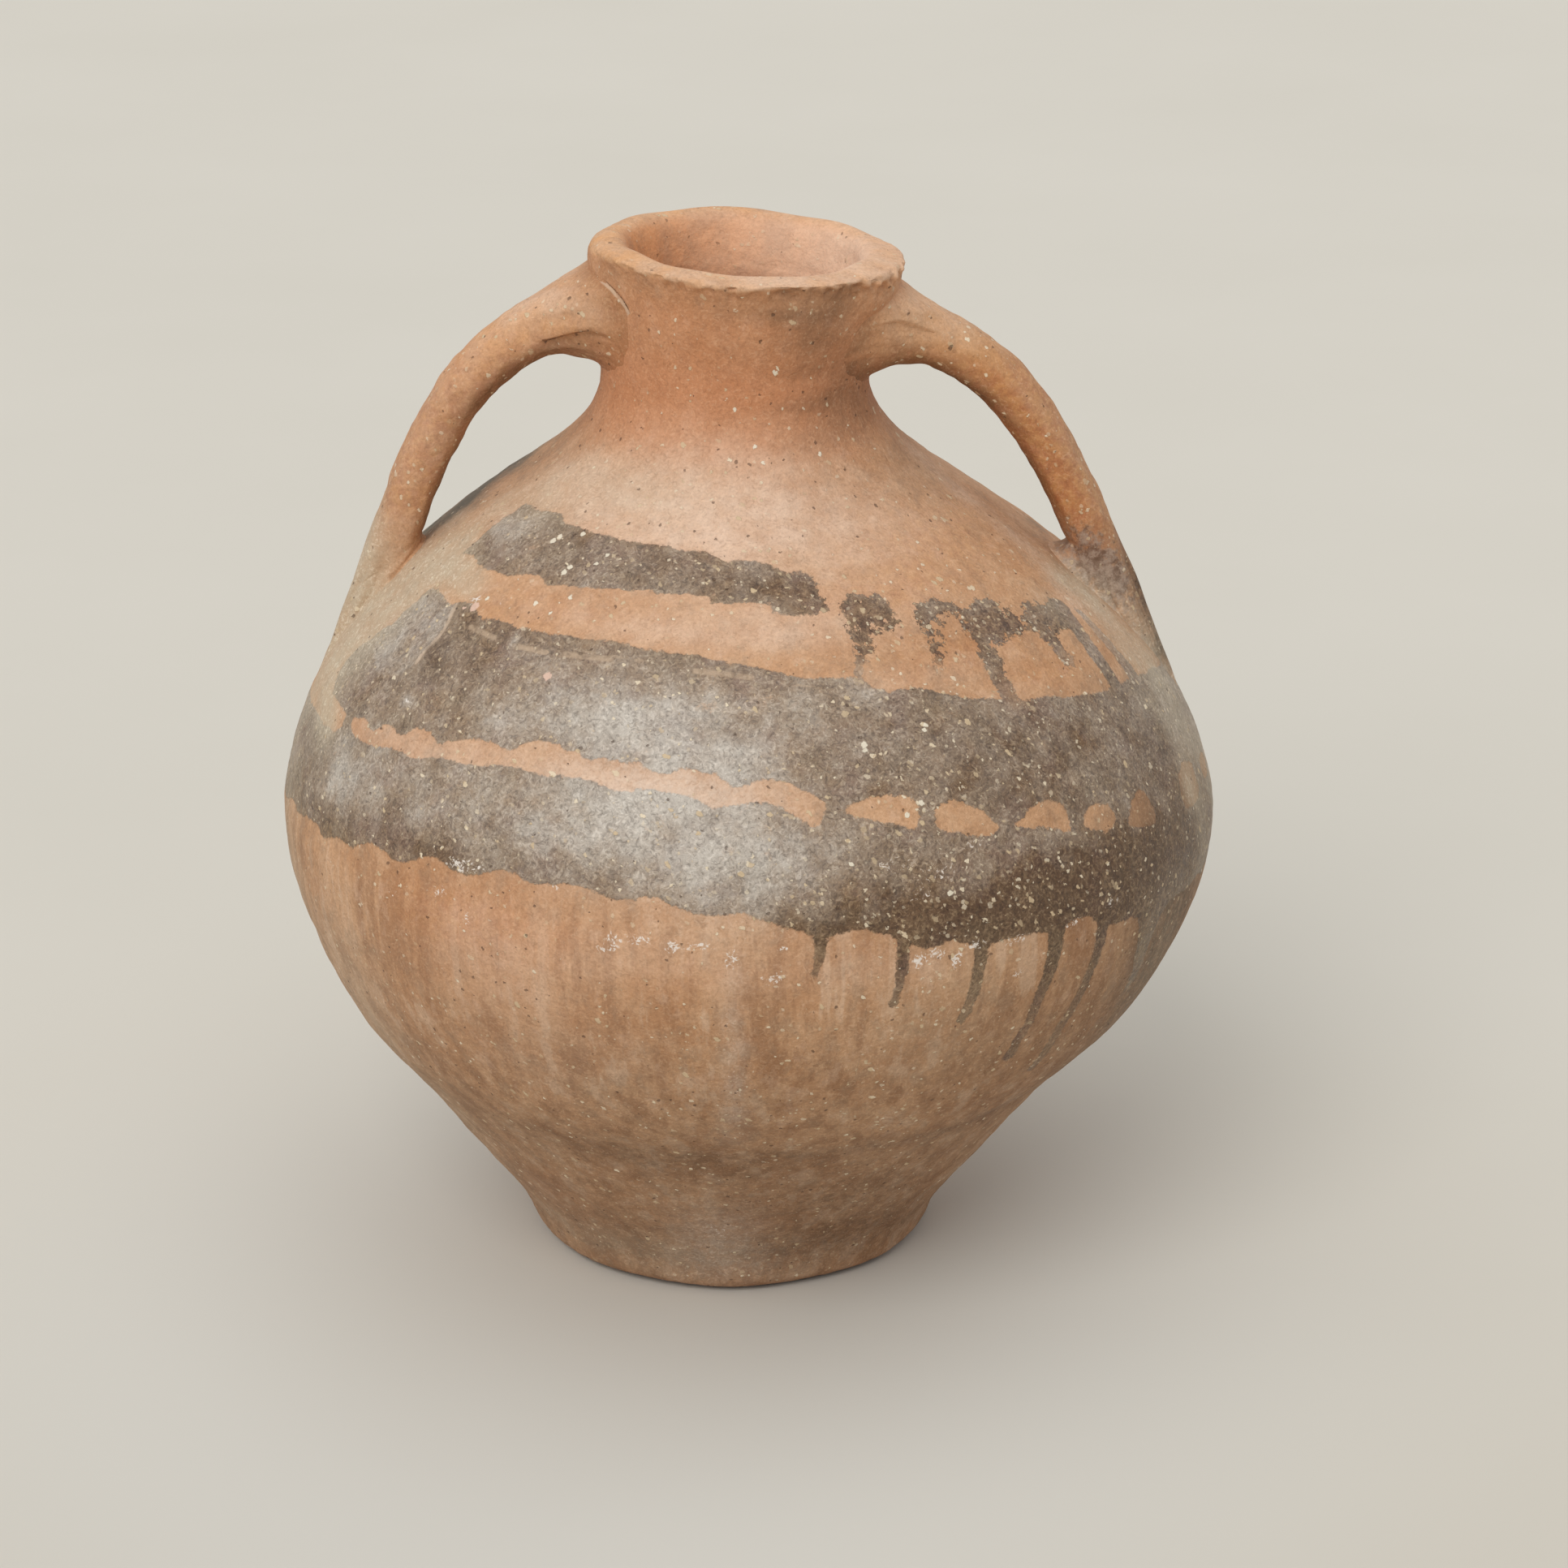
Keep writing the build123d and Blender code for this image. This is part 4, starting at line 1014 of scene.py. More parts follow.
def add_flare(name, p, inner, normal, side, foot):
    verts = closed_torus(p, inner)
    normals = closed_torus(normal, -normal)
    rows = verts.shape[0]
    faces = loop_faces(rows, AROUND, True)
    v = verts.reshape(-1, 3)
    f = faces
    vol = (np.cross(v[f[:, 0]], v[f[:, 1]]) * v[f[:, 2]]).sum() + (np.cross(v[f[:, 0]], v[f[:, 2]]) * v[f[:, 3]]).sum()
    if vol < 0:
        faces = faces[:, ::-1]
    fields = handle_fields(verts, "flare", side)
    step = np.linalg.norm(np.diff(p, axis=0), axis=2)
    to_end = np.concatenate([np.cumsum(step[::-1], axis=0)[::-1], np.zeros((1, AROUND))])
    shown = smooth(4, 12, -p[..., 1])
    zone = {"left_upper_luting": (378, 430), "right_lower_luting": (246, 287)}.get(name, (0, 0))
    shown = shown * (p[..., 2] > zone[0]) * (p[..., 2] < zone[1])
    edge = np.where(shown > .3, to_end - 1.2, 9.0).clip(-9, 9)
    fields["crease"] = closed_torus(edge, np.full(edge.shape, 9.0)).ravel()
    # a dark line along the upper root's ledge: a crack, and painted shade under the ledge's overhang
    if "ledge" in foot:
        k = np.linspace(0, 1, len(p))[:, None]
        girth = np.linalg.norm(np.roll(p, -1, 1) - p, axis=2).sum(1)[:, None]
        off = (np.degrees(vv)[None, :] - foot["ledge"] - 5 * np.sin(9 * k)) * girth / 360
        gap = np.abs(off) + (0 if side > 0 else .8) + 9 * (1 - smooth(.02, .14, k) * (1 - smooth(.55, .75, k)))
        fields["crack"] = closed_torus(np.clip(gap, 0, 9), np.full(gap.shape, 9.0)).ravel()
    return make_piece("jar_" + name, v, faces.tolist(), normals.reshape(-1, 3), fields, [name])


def upper_foot(th0, zc, up, down, wide, p_up, p_down, seed, ledge, size):
    def line(v):
        c, s = np.cos(v), np.sin(v)
        p = np.where(c > 0, p_up, p_down)
        zf = zc + np.where(c > 0, up, down) * np.sign(c) * np.abs(c) ** (2 / p)
        lat = wide * np.sign(s) * np.abs(s) ** (2 / p)
        sign = 1 if th0 < 0 else -1
        th = th0 + sign * np.degrees(lat / RADIUS(zf))
        return th, zf
    w = waves(seed, 30, (2, 14), (12, 40))
    def relief_at(a, b):
        k = b / 40
        at = ledge + 5 * np.sin(9 * k)
        step = np.tanh((at - a) / 1.3) * np.exp(-((a - at) / 24) ** 2)
        return 0.32 * w(a, b) + size * step * smooth(.0, .25, k) * (1 - smooth(.55, .85, k))
    return {"line": line, "centre": (th0, zc), "upper": True, "relief": relief_at, "ledge": ledge}


def lower_foot(th0, top, tip, wide, seed):
    def line(v):
        k = (1 - np.cos(v)) / 2
        zf = tip + (top - tip) * k ** 0.92
        lat = wide * np.sign(np.sin(v)) * np.abs(np.sin(v)) ** .85 * (0.72 + 0.5 * k)
        sign = 1 if th0 < 0 else -1
        return th0 + sign * np.degrees(lat / RADIUS(zf)), zf
    w = waves(seed, 30, (2, 12), (12, 40))
    return {"line": line, "centre": (th0, tip + .55 * (top - tip)), "upper": False,
            "relief": lambda a, b: 0.28 * w(a, b)}


def arc_at(bar, x):
    u = np.linspace(0, bar.t[-1], 4000)
    return float(u[np.argmin(np.abs(bar.f[0](u) - x))])


for word, stations, side, th0 in (("left", LEFT, 1, -90.0), ("right", RIGHT, -1, 90.0)):
    bar = Bar(stations, side, 51 if side > 0 else 61)
    u_up = arc_at(bar, -83.0 if side > 0 else 88.0)
    u_low = arc_at(bar, -140.2 if side > 0 else 151.5)
    if side > 0:
        foot = upper_foot(th0, 409, 19, 22.5, 43, 3.2, 2.3, 71, 97, 1.5)
        low = lower_foot(th0, 312, 246, 15.0, 72)
    else:
        foot = upper_foot(th0, 404, 24, 21.5, 42, 3.0, 2.3, 73, 62, .9)
        low = lower_foot(th0, 310, 244, 15.0, 74)
    c = np.cos(vv)
    straight = smooth(.1, .9, c) * .85
    p, inner, normal = flare(bar, u_up, foot, .75 + 0 * c, np.where(c < 0, .85, .6), straight, side)
    add_flare(word + "_upper_luting", p, inner, normal, side, foot)
    p, inner, normal = flare(bar, u_low, low, .8 + 0 * c, .7 + 0 * c, 0 * c, side, rows=56)
    add_flare(word + "_lower_luting", p, inner, normal, side, low)
    # the bar itself: full between its two lutings, let in below them
    u_mid = np.linspace(u_up, u_low, int((u_low - u_up) / 1.2))
    u_head = np.arange(max(6.0, 0.0), u_up - 1.0, 2.5)
    u_tail = np.arange(u_low + 1.5, bar.t[-1] - 6, 2.5)
    mid = bar.ring(u_mid)
    head = bar.ring(u_head, 3.0)
    tail = bar.ring(u_tail, 3.0)
    rings = np.concatenate([head, mid, tail])
    n_mid = grid_normals(np.concatenate([bar.ring([u_up - 1.2]), mid, bar.ring([u_low + 1.2])]))[1:-1]
    n_all = np.concatenate([grid_normals(head), n_mid, grid_normals(tail)])
    if ((mid[5] - mid[5].mean(0)) * n_mid[5]).sum() < 0:
        n_all = -n_all
    caps = np.stack([rings[0].mean(0), rings[-1].mean(0)])
    h0, h1 = bar.heading(u_head[0]), bar.heading(u_tail[-1])
    v = np.concatenate([rings.reshape(-1, 3), caps])
    n = np.concatenate([n_all.reshape(-1, 3), [-h0, h1]])
    count = len(rings)
    faces = loop_faces(count, AROUND, False).tolist()
    a0, a1, base = count * AROUND, count * AROUND + 1, (count - 1) * AROUND
    faces += [[a0, (i + 1) % AROUND, i] for i in range(AROUND)]
    faces += [[a1, base + i, base + (i + 1) % AROUND] for i in range(AROUND)]
    f4 = np.array([q for q in faces if len(q) == 4])
    vol = (np.cross(v[f4[:, 0]], v[f4[:, 1]]) * v[f4[:, 2]]).sum() + (np.cross(v[f4[:, 0]], v[f4[:, 2]]) * v[f4[:, 3]]).sum()
    if vol < 0:
        faces = [q[::-1] for q in faces]
    make_piece("jar_" + word + "_handle", v, faces, n, handle_fields(v, "bar", side), [word + "_handle"])


# ------------------------------------------------------------------ material
class Tree:
    def __init__(self, mat):
        mat.use_nodes = True
        self.t = mat.node_tree
        self.t.nodes.clear()
        self.col = 0

    def node(self, kind, **props):
        n = self.t.nodes.new(kind)
        for k, v in props.items():
            setattr(n, k, v)
        n.location = (self.col * 60, -(self.col % 12) * 160)
        self.col += 1
        return n

    def put(self, value, socket):
        if hasattr(value, "is_output"):
            self.t.links.new(value, socket)
        else:
            socket.default_value = value

    def math(self, op, a, b=None, c=None, clamp=False):
        n = self.node("ShaderNodeMath", operation=op, use_clamp=clamp)
        for i, v in enumerate((a, b, c)):
            if v is not None:
                self.put(v, n.inputs[i])
        return n.outputs[0]

    def mul(self, a, b):
        return self.math("MULTIPLY", a, b)

    def add(self, a, b):
        return self.math("ADD", a, b)

    def ramp(self, x, lo, hi, to_lo=0.0, to_hi=1.0):
        n = self.node("ShaderNodeMapRange", interpolation_type="SMOOTHSTEP")
        self.put(x, n.inputs[0])
        for i, v in enumerate((lo, hi, to_lo, to_hi)):
            self.put(v, n.inputs[i + 1])
        return n.outputs[0]

    def mix(self, fac, a, b, blend="MIX"):
        n = self.node("ShaderNodeMix", data_type="RGBA", blend_type=blend)
        self.put(fac, n.inputs[0])
        self.put(a, n.inputs[6])
        self.put(b, n.inputs[7])
        return n.outputs[2]

    def mix_value(self, fac, a, b):
        n = self.node("ShaderNodeMix", data_type="FLOAT")
        self.put(fac, n.inputs[0])
        self.put(a, n.inputs[2])
        self.put(b, n.inputs[3])
        return n.outputs[0]

    def scaled(self, vec, x, y, z):
        n = self.node("ShaderNodeVectorMath", operation="MULTIPLY")
        self.put(vec, n.inputs[0])
        n.inputs[1].default_value = (x, y, z)
        return n.outputs[0]

    def turned(self, vec, degrees):
        n = self.node("ShaderNodeVectorRotate", rotation_type="Y_AXIS")
        self.put(vec, n.inputs["Vector"])
        n.inputs["Angle"].default_value = math.radians(degrees)
        return n.outputs[0]

    def noise(self, vec, size, detail=2.0, rough=.5, distort=0.0):
        n = self.node("ShaderNodeTexNoise", noise_dimensions="3D")
        self.put(vec, n.inputs["Vector"])
        n.inputs["Scale"].default_value = 1.0 / size
        n.inputs["Detail"].default_value = detail
        n.inputs["Roughness"].default_value = rough
        n.inputs["Distortion"].default_value = distort
        return n.outputs["Fac"], n.outputs["Color"]

    def split_z(self, vec):
        n = self.node("ShaderNodeSeparateXYZ")
        self.put(vec, n.inputs[0])
        return n.outputs[2]

    def cells(self, vec, size):
        n = self.node("ShaderNodeTexVoronoi", voronoi_dimensions="3D", feature="F1")
        self.put(vec, n.inputs["Vector"])
        n.inputs["Scale"].default_value = 1.0 / size
        n.inputs["Randomness"].default_value = 1.0
        s = self.node("ShaderNodeSeparateColor")
        self.t.links.new(n.outputs["Color"], s.inputs[0])
        return n.outputs["Distance"], s.outputs[0], s.outputs[1], s.outputs[2]

    def attr(self, name):
        n = self.node("ShaderNodeAttribute", attribute_type="GEOMETRY", attribute_name=name)
        return n.outputs["Fac"]


def col(r, g, b):
    """Linear colour from display values 0-255."""
    def lin(v):
        v /= 255
        return v / 12.92 if v <= .04045 else ((v + .055) / 1.055) ** 2.4
    return (lin(r), lin(g), lin(b), 1.0)


def clay_material(name):
    mat = bpy.data.materials.new(name)
    t = Tree(mat)
    tc = t.node("ShaderNodeTexCoord")
    mm = t.scaled(tc.outputs["Object"], 1000, 1000, 1000)
    tall = t.scaled(tc.outputs["Object"], 1000, 1000, 170)
    flat = t.scaled(tc.outputs["Object"], 140, 140, 1000)

    n_big, _ = t.noise(mm, 46, 4, .6)
    n_mid, _ = t.noise(mm, 13, 5, .62)
    n_small, _ = t.noise(mm, 4.2, 4, .6)
    n_fine, _ = t.noise(mm, 1.3, 3, .6)
    n_tall, _ = t.noise(tall, 9, 4, .6)
    n_flat, _ = t.noise(flat, 2.2, 3, .55)
    n_edge, _ = t.noise(mm, 2.4, 4, .72)
    swirl, _ = t.noise(mm, 2.5, 3, .66, 1.6)
    strand, _ = t.noise(mm, 5.2, 3, .62, 2.2)
    _, w_col = t.noise(mm, 2.2, 2, .6)
    warp = t.node("ShaderNodeVectorMath", operation="MULTIPLY_ADD")
    t.put(w_col, warp.inputs[0])
    warp.inputs[1].default_value = (2.4, 2.4, 2.4)
    t.put(mm, warp.inputs[2])
    warped = warp.outputs[0]
    light_stroke = t.ramp(swirl, .535, .64)
    dark_stroke = t.ramp(swirl, .465, .36)
    n_patch, _ = t.noise(t.scaled(tc.outputs["Object"], 1000, 1000, 620), 10.5, 5, .68)
    n_crumb, _ = t.noise(warped, 3.6, 3, .70)
    _, sand, sand_b, _ = t.cells(warped, 1.15)
    calm = t.math("MULTIPLY_ADD", t.attr("mouth"), -.40, 1.0)
    crumb, thin = t.attr("crumb"), t.attr("thin")

    haze_and_highlight, dust, handle_shade = t.attr("haze_and_highlight"), t.attr("dust"), t.attr("handle_shade")
    brown_and_shade, pale, red = t.attr("brown_and_shade"), t.attr("pale"), t.attr("red")
    grit, scuff, smear = t.attr("grit"), t.attr("scuff"), t.attr("smear")
    shade_and_dark_tone, warm, mouth = t.attr("shade_and_dark_tone"), t.attr("warm"), t.attr("mouth")
    n_streak, _ = t.noise(t.scaled(tc.outputs["Object"], 1000, 1000, 90), 11, 4, .62)
    below = t.ramp(t.math("MULTIPLY", t.split_z(tc.outputs["Object"]), 1000.0), 235, 200)

    # bare clay
    c = t.mix(t.ramp(n_big, .36, .66), col(206, 161, 122), col(192, 143, 103))
    c = t.mix(t.mul(t.ramp(n_mid, .44, .74), .50), c, col(219, 181, 146))
    c = t.mix(t.mul(t.ramp(n_tall, .50, .72), .34), c, col(170, 125, 90))
    c = t.mix(t.mul(t.mul(t.ramp(n_streak, .48, .62), below), .58), c, col(152, 107, 73))
    c = t.mix(t.mul(t.mul(t.ramp(n_streak, .46, .35), below), .56), c, col(224, 190, 160))
    c = t.mix(t.mul(t.ramp(n_patch, .50, .66), .46), c, col(166, 135, 108))
    c = t.mix(t.mul(t.ramp(n_patch, .46, .32), .34), c, col(224, 188, 160))
    c = t.mix(t.mul(warm, .86), c, t.mix(t.ramp(n_small, .35, .65), col(176, 101, 44), col(208, 142, 76)))
    c = t.mix(t.mul(red, .75), c, col(203, 132, 89))
    # rim and handle tops lighter and more orange-tan: partly their own colour, partly painted light
    c = t.mix(t.mul(t.attr("top_tone_and_light"), t.ramp(n_patch, .36, .62, 1.10, .55)), c, t.mix(t.ramp(n_big, .40, .60), col(238, 174, 110), col(228, 157, 78)))
    # pale clay, with painted light on the up-facing shoulder, the lip's top, a highlight on the orange strip and the
    # lit inner wall
    c = t.mix(t.mul(pale, t.ramp(n_mid, .25, .70, .50, 1.0)), c, col(234, 204, 180))
    # brown staining, and painted shade under the lip, low down, on the right and under the handles
    c = t.mix(t.mul(brown_and_shade, t.ramp(n_small, .2, .8, .70, 1.2)), c, t.mix(t.ramp(brown_and_shade, .45, .90), col(110, 83, 60), col(82, 61, 44)))
    # painted shade: clay darker mainly on the right side, away from the light
    c = t.mix(t.mul(shade_and_dark_tone, .40), c, col(134, 106, 80))
    # inside the mouth: orange where shaded, pale where lit, a painted light and shade
    c = t.mix(t.mul(mouth, t.ramp(n_patch, .36, .62, .98, .50)), c, t.mix(pale, col(227, 139, 42), col(250, 216, 188)))
    c = t.mix(t.mul(t.mul(light_stroke, .15), calm), c, col(236, 202, 168))
    c = t.mix(t.mul(t.mul(dark_stroke, .17), calm), c, col(140, 96, 64))
    clay_grain = t.mul(t.ramp(n_fine, .25, .75, -.07, .06), calm)
    clay_grain = t.add(clay_grain, t.mul(t.ramp(sand, 0, 1, -.035, .035), calm))
    clay = t.mix(1.0, c, t.add(clay_grain, 1.0), "MULTIPLY")

    # dark slip
    edge = t.add(t.attr("paint"), t.mul(t.math("SUBTRACT", n_small, .5), 2.8))
    edge = t.add(edge, t.mul(t.math("SUBTRACT", n_edge, .5), t.ramp(grit, .2, 1, 3.4, 6.4)))
    edge = t.add(edge, t.mul(crumb, t.math("MULTIPLY_ADD", n_crumb, 30.0, -16.2)))
    p_mask = t.ramp(edge, -.45, .50)
    hue, _ = t.noise(mm, 21, 3, .6)
    n_blot, _ = t.noise(mm, 16, 5, .64)
    # grey veil over the slip: lime haze plus the painted highlight, less over crumbs, low down and in the painted shade
    veil_and_highlight = t.math("MULTIPLY_ADD", haze_and_highlight, .80, .25)
    veil_and_highlight = t.add(veil_and_highlight, t.mul(t.math("SUBTRACT", n_blot, .5), 1.15))
    veil_and_highlight = t.math("MULTIPLY_ADD", crumb, -.34, veil_and_highlight)
    veil_and_highlight = t.math("MULTIPLY_ADD", below, -.32, veil_and_highlight)
    veil_and_highlight = t.math("MULTIPLY_ADD", shade_and_dark_tone, -.30, veil_and_highlight)
    veil_and_highlight = t.math("MINIMUM", t.math("MAXIMUM", veil_and_highlight, 0.0), .96)
    s_col = t.mix(t.ramp(n_mid, .36, .66), col(112, 85, 60), col(138, 109, 79))
    s_col = t.mix(t.mul(t.ramp(hue, .50, .64), .55), s_col, col(128, 108, 82))
    s_col = t.mix(t.mul(t.ramp(hue, .48, .34), .62), s_col, col(118, 88, 77))
    s_col = t.mix(t.mul(t.ramp(n_tall, .46, .70), .50), s_col, col(88, 66, 47))
    patch = t.mul(t.ramp(t.add(t.mul(n_patch, .5), t.mul(n_tall, .5)), .47, .60), t.math("SUBTRACT", 1.0, shade_and_dark_tone))
    s_col = t.mix(t.mul(patch, .28), s_col, col(162, 136, 108))
    # painted shade: slip darker mainly on the right side, away from the light
    s_col = t.mix(t.mul(shade_and_dark_tone, .80), s_col, col(80, 58, 42))
    s_col = t.mix(t.mul(grit, .30), s_col, col(108, 80, 57))
    s_col = t.mix(t.mul(crumb, .70), s_col, t.mix(t.ramp(n_small, .38, .62), col(104, 78, 64), col(152, 122, 96)))
    s_col = t.mix(t.mul(veil_and_highlight, t.ramp(n_mid, .30, .62, .80, 1.0)), s_col, t.mix(t.ramp(veil_and_highlight, .30, .80), col(184, 163, 141), col(198, 189, 177)))
    s_col = t.mix(t.mul(t.ramp(strand, .50, .66), .34), s_col, t.mix(veil_and_highlight, col(164, 138, 106), col(220, 212, 200)))
    s_col = t.mix(t.mul(t.ramp(strand, .48, .34), .40), s_col, t.mix(veil_and_highlight, col(76, 53, 41), col(140, 127, 115)))
    s_col = t.mix(t.mul(light_stroke, t.math("MULTIPLY_ADD", shade_and_dark_tone, -.16, .38)), s_col, t.mix(veil_and_highlight, col(180, 154, 122), col(230, 223, 212)))
    s_col = t.mix(t.mul(dark_stroke, .42), s_col, t.mix(veil_and_highlight, col(60, 43, 33), col(122, 109, 98)))
    s_col = t.mix(1.0, s_col, t.add(t.ramp(n_fine, .25, .75, .90, 1.09), t.ramp(sand, 0, 1, -.05, .05)), "MULTIPLY")
    wear = t.ramp(t.add(n_mid, t.mul(t.math("SUBTRACT", n_fine, .5), .5)), .66, .80, 1.0, .66)
    cover = t.mul(t.mul(p_mask, wear), t.math("SUBTRACT", 1.0, thin))
    c = t.mix(cover, clay, s_col)
    # purplish slip smeared on the clay of a handle root
    sm = t.add(smear, t.mul(t.math("SUBTRACT", n_small, .5), 1.7))
    sm = t.ramp(t.add(sm, t.mul(t.math("SUBTRACT", n_edge, .5), 1.0)), .28, .80)
    sm = t.mul(sm, t.ramp(smear, .02, .30))
    c = t.mix(t.mul(sm, .72), c, t.mix(t.ramp(n_crumb, .36, .62), col(80, 60, 54), col(164, 146, 134)))

    # lime haze with the painted highlight, dust, and painted shade under the handles
    film = t.ramp(t.add(t.mul(n_small, .45), t.mul(swirl, .55)), .38, .61, .45, 1.0)
    haze_highlight_amount = t.mul(t.mul(t.mix_value(cover, haze_and_highlight, veil_and_highlight), film), t.math("MULTIPLY_ADD", cover, -.38, .62))
    c = t.mix(haze_highlight_amount, c, t.mix(cover, col(233, 216, 200), col(224, 219, 211)))
    du = t.mul(dust, t.mul(t.ramp(n_mid, .25, .65, .75, 1.0), t.math("MULTIPLY_ADD", film, .35, .65)))
    c = t.mix(t.mul(du, .92), c, t.mix(light_stroke, col(201, 186, 161), col(222, 210, 188)))
    # painted shade under the handles, dark grey
    handle_shade_mask = t.ramp(t.add(handle_shade, t.mul(t.math("SUBTRACT", n_small, .5), .5)), .15, .85)
    c = t.mix(t.mul(handle_shade_mask, .85), c, col(98, 96, 84))

    skin = t.add(t.mul(light_stroke, .10), t.mul(dark_stroke, -.12))
    c = t.mix(1.0, c, t.math("MULTIPLY_ADD", skin, t.mul(calm, t.math("MULTIPLY_ADD", cover, .5, .4)), 1.0), "MULTIPLY")

    # grit: pale grains of several kinds, dark pits
    upright = t.scaled(t.turned(warped, 38), 1, 1, .62)
    lying = t.scaled(t.turned(warped, -24), .62, .62, 1)
    d1, r1, g1, b1 = t.cells(warped, 2.9)
    dens1 = t.add(t.mul(p_mask, t.math("MULTIPLY_ADD", crumb, .30, t.ramp(grit, 0, 1, .14, .42))), t.math("MULTIPLY_ADD", grit, .12, .15))
    m1 = t.mul(t.math("LESS_THAN", r1, dens1), t.ramp(t.math("DIVIDE", d1, t.ramp(g1, 0, 1, .15, .30)), 1.1, .85))
    d2, r2, g2, b2 = t.cells(upright, 4.2)
    dens2 = t.add(t.mul(p_mask, t.math("MULTIPLY_ADD", crumb, .25, t.ramp(grit, 0, 1, .10, .38))), t.math("MULTIPLY_ADD", grit, .14, .13))
    m2 = t.mul(t.math("LESS_THAN", r2, dens2), t.ramp(t.math("DIVIDE", d2, t.ramp(g2, 0, 1, .11, .25)), 1.1, .85))
    d4, r4, g4, b4 = t.cells(lying, 4.6)
    dens4 = t.add(t.mul(p_mask, t.ramp(grit, 0, 1, .10, .36)), t.math("MULTIPLY_ADD", grit, .12, .13))
    m4 = t.mul(t.math("LESS_THAN", r4, dens4), t.ramp(t.math("DIVIDE", d4, t.ramp(g4, 0, 1, .10, .22)), 1.1, .85))
    grains = t.math("MAXIMUM", t.mul(m1, t.ramp(b1, 0, 1, .30, .92)), t.mul(m2, t.ramp(b2, 0, 1, .45, 1.0)))
    grains = t.math("MAXIMUM", grains, t.mul(m4, t.ramp(b4, 0, 1, .45, 1.0)))
    leaning = t.scaled(t.turned(warped, 66), 1, 1, .50)
    d5, r5, g5, b5 = t.cells(leaning, 3.5)
    dens5 = t.add(t.mul(p_mask, t.ramp(grit, 0, 1, .04, .36)), .03)
    m5 = t.mul(t.math("LESS_THAN", r5, dens5), t.ramp(t.math("DIVIDE", d5, t.ramp(g5, 0, 1, .10, .22)), 1.1, .85))
    d6, r6, g6, b6 = t.cells(warped, 5.0)
    dens6 = t.mul(p_mask, t.math("MULTIPLY_ADD", crumb, .55, t.ramp(grit, .3, 1, 0, .12)))
    m6 = t.mul(t.math("LESS_THAN", r6, dens6), t.ramp(t.math("DIVIDE", d6, t.ramp(g6, 0, 1, .13, .27)), 1.1, .85))
    grains = t.math("MAXIMUM", grains, t.mul(m6, t.ramp(b6, 0, 1, .40, .90)))
    grains = t.mul(t.math("MAXIMUM", grains, t.mul(m5, t.ramp(b5, 0, 1, .45, 1.0))), calm)
    c = t.mix(t.mul(grains, .90), c, t.mix(t.ramp(g2, .2, .8), col(240, 224, 196), col(214, 190, 154)))
    for spots, tint in ((NODULES, col(238, 228, 206)), (ROSE, col(228, 194, 174))):
        near = None
        for a, z, r in spots:
            n = t.node("ShaderNodeVectorMath", operation="DISTANCE")
            t.put(warped, n.inputs[0])
            n.inputs[1].default_value = [float(v) + 1.2 for v in outer_point(a, z)]
            d = t.math("DIVIDE", n.outputs["Value"], r)
            near = d if near is None else t.math("MINIMUM", near, d)
        single = t.ramp(near, 1.15, .80)
        grains = t.math("MAXIMUM", grains, single)
        c = t.mix(t.mul(single, .92), c, tint)
    d3, r3, g3, b3 = t.cells(warped, 4.4)
    pits = t.mul(t.math("LESS_THAN", r3, t.math("MULTIPLY_ADD", red, .26, .28)), t.ramp(t.math("DIVIDE", d3, t.ramp(g3, 0, 1, .07, .18)), 1.1, .7))
    pits = t.mul(pits, calm)
    c = t.mix(t.mul(pits, .62), c, col(82, 58, 42))
    # dark line along each upper root's ledge: crack, and painted shade under its overhang
    ck = t.math("ABSOLUTE", t.add(t.attr("crack"), t.mul(t.math("SUBTRACT", n_small, .5), 1.6)))
    ck = t.mul(t.ramp(ck, .30, 1.1, 1.0, 0.0), t.ramp(n_mid, .34, .54, .30, 1.0))
    c = t.mix(t.mul(ck, .62), c, col(92, 58, 38))

    # scored lines and lime scuffs
    sa = t.ramp(t.math("ABSOLUTE", t.add(t.attr("score_a"), t.mul(t.math("SUBTRACT", n_small, .5), 1.0))), .75, 1.70, 1.0, 0.0)
    sb = t.ramp(t.math("ABSOLUTE", t.add(t.attr("score_b"), t.mul(t.math("SUBTRACT", n_small, .5), 1.2))), .30, .9, 1.0, 0.0)
    score = t.math("MAXIMUM", t.mul(sa, t.ramp(n_small, .34, .56, .35, 1.0)), t.mul(t.mul(sb, .6), t.ramp(n_mid, .46, .56)))
    c = t.mix(t.mul(score, .70), c, col(196, 170, 143))
    cr = t.math("ABSOLUTE", t.add(t.attr("crease"), t.mul(t.math("SUBTRACT", n_small, .5), 1.6)))
    cr = t.mul(t.ramp(cr, .4, 1.5, 1.0, 0.0), t.ramp(n_mid, .38, .54, .45, 1.0))
    c = t.mix(t.mul(cr, .58), c, col(226, 200, 174))
    sc = t.add(scuff, t.mul(t.math("SUBTRACT", swirl, .5), 3.0))
    sc = t.ramp(t.add(sc, t.mul(t.math("SUBTRACT", n_fine, .5), 1.0)), .56, .84)
    sc = t.mul(sc, t.ramp(scuff, .05, .35))
    c = t.mix(t.mul(sc, .85), c, col(240, 231, 221))

    rough = t.ramp(n_mid, .2, .8, .70, .84)
    rough = t.add(t.mul(rough, t.math("SUBTRACT", 1.0, cover)), t.mul(t.ramp(n_small, .2, .8, .36, .54), cover))
    rough = t.math("MAXIMUM", rough, t.mul(t.math("MAXIMUM", du, grains), .72))

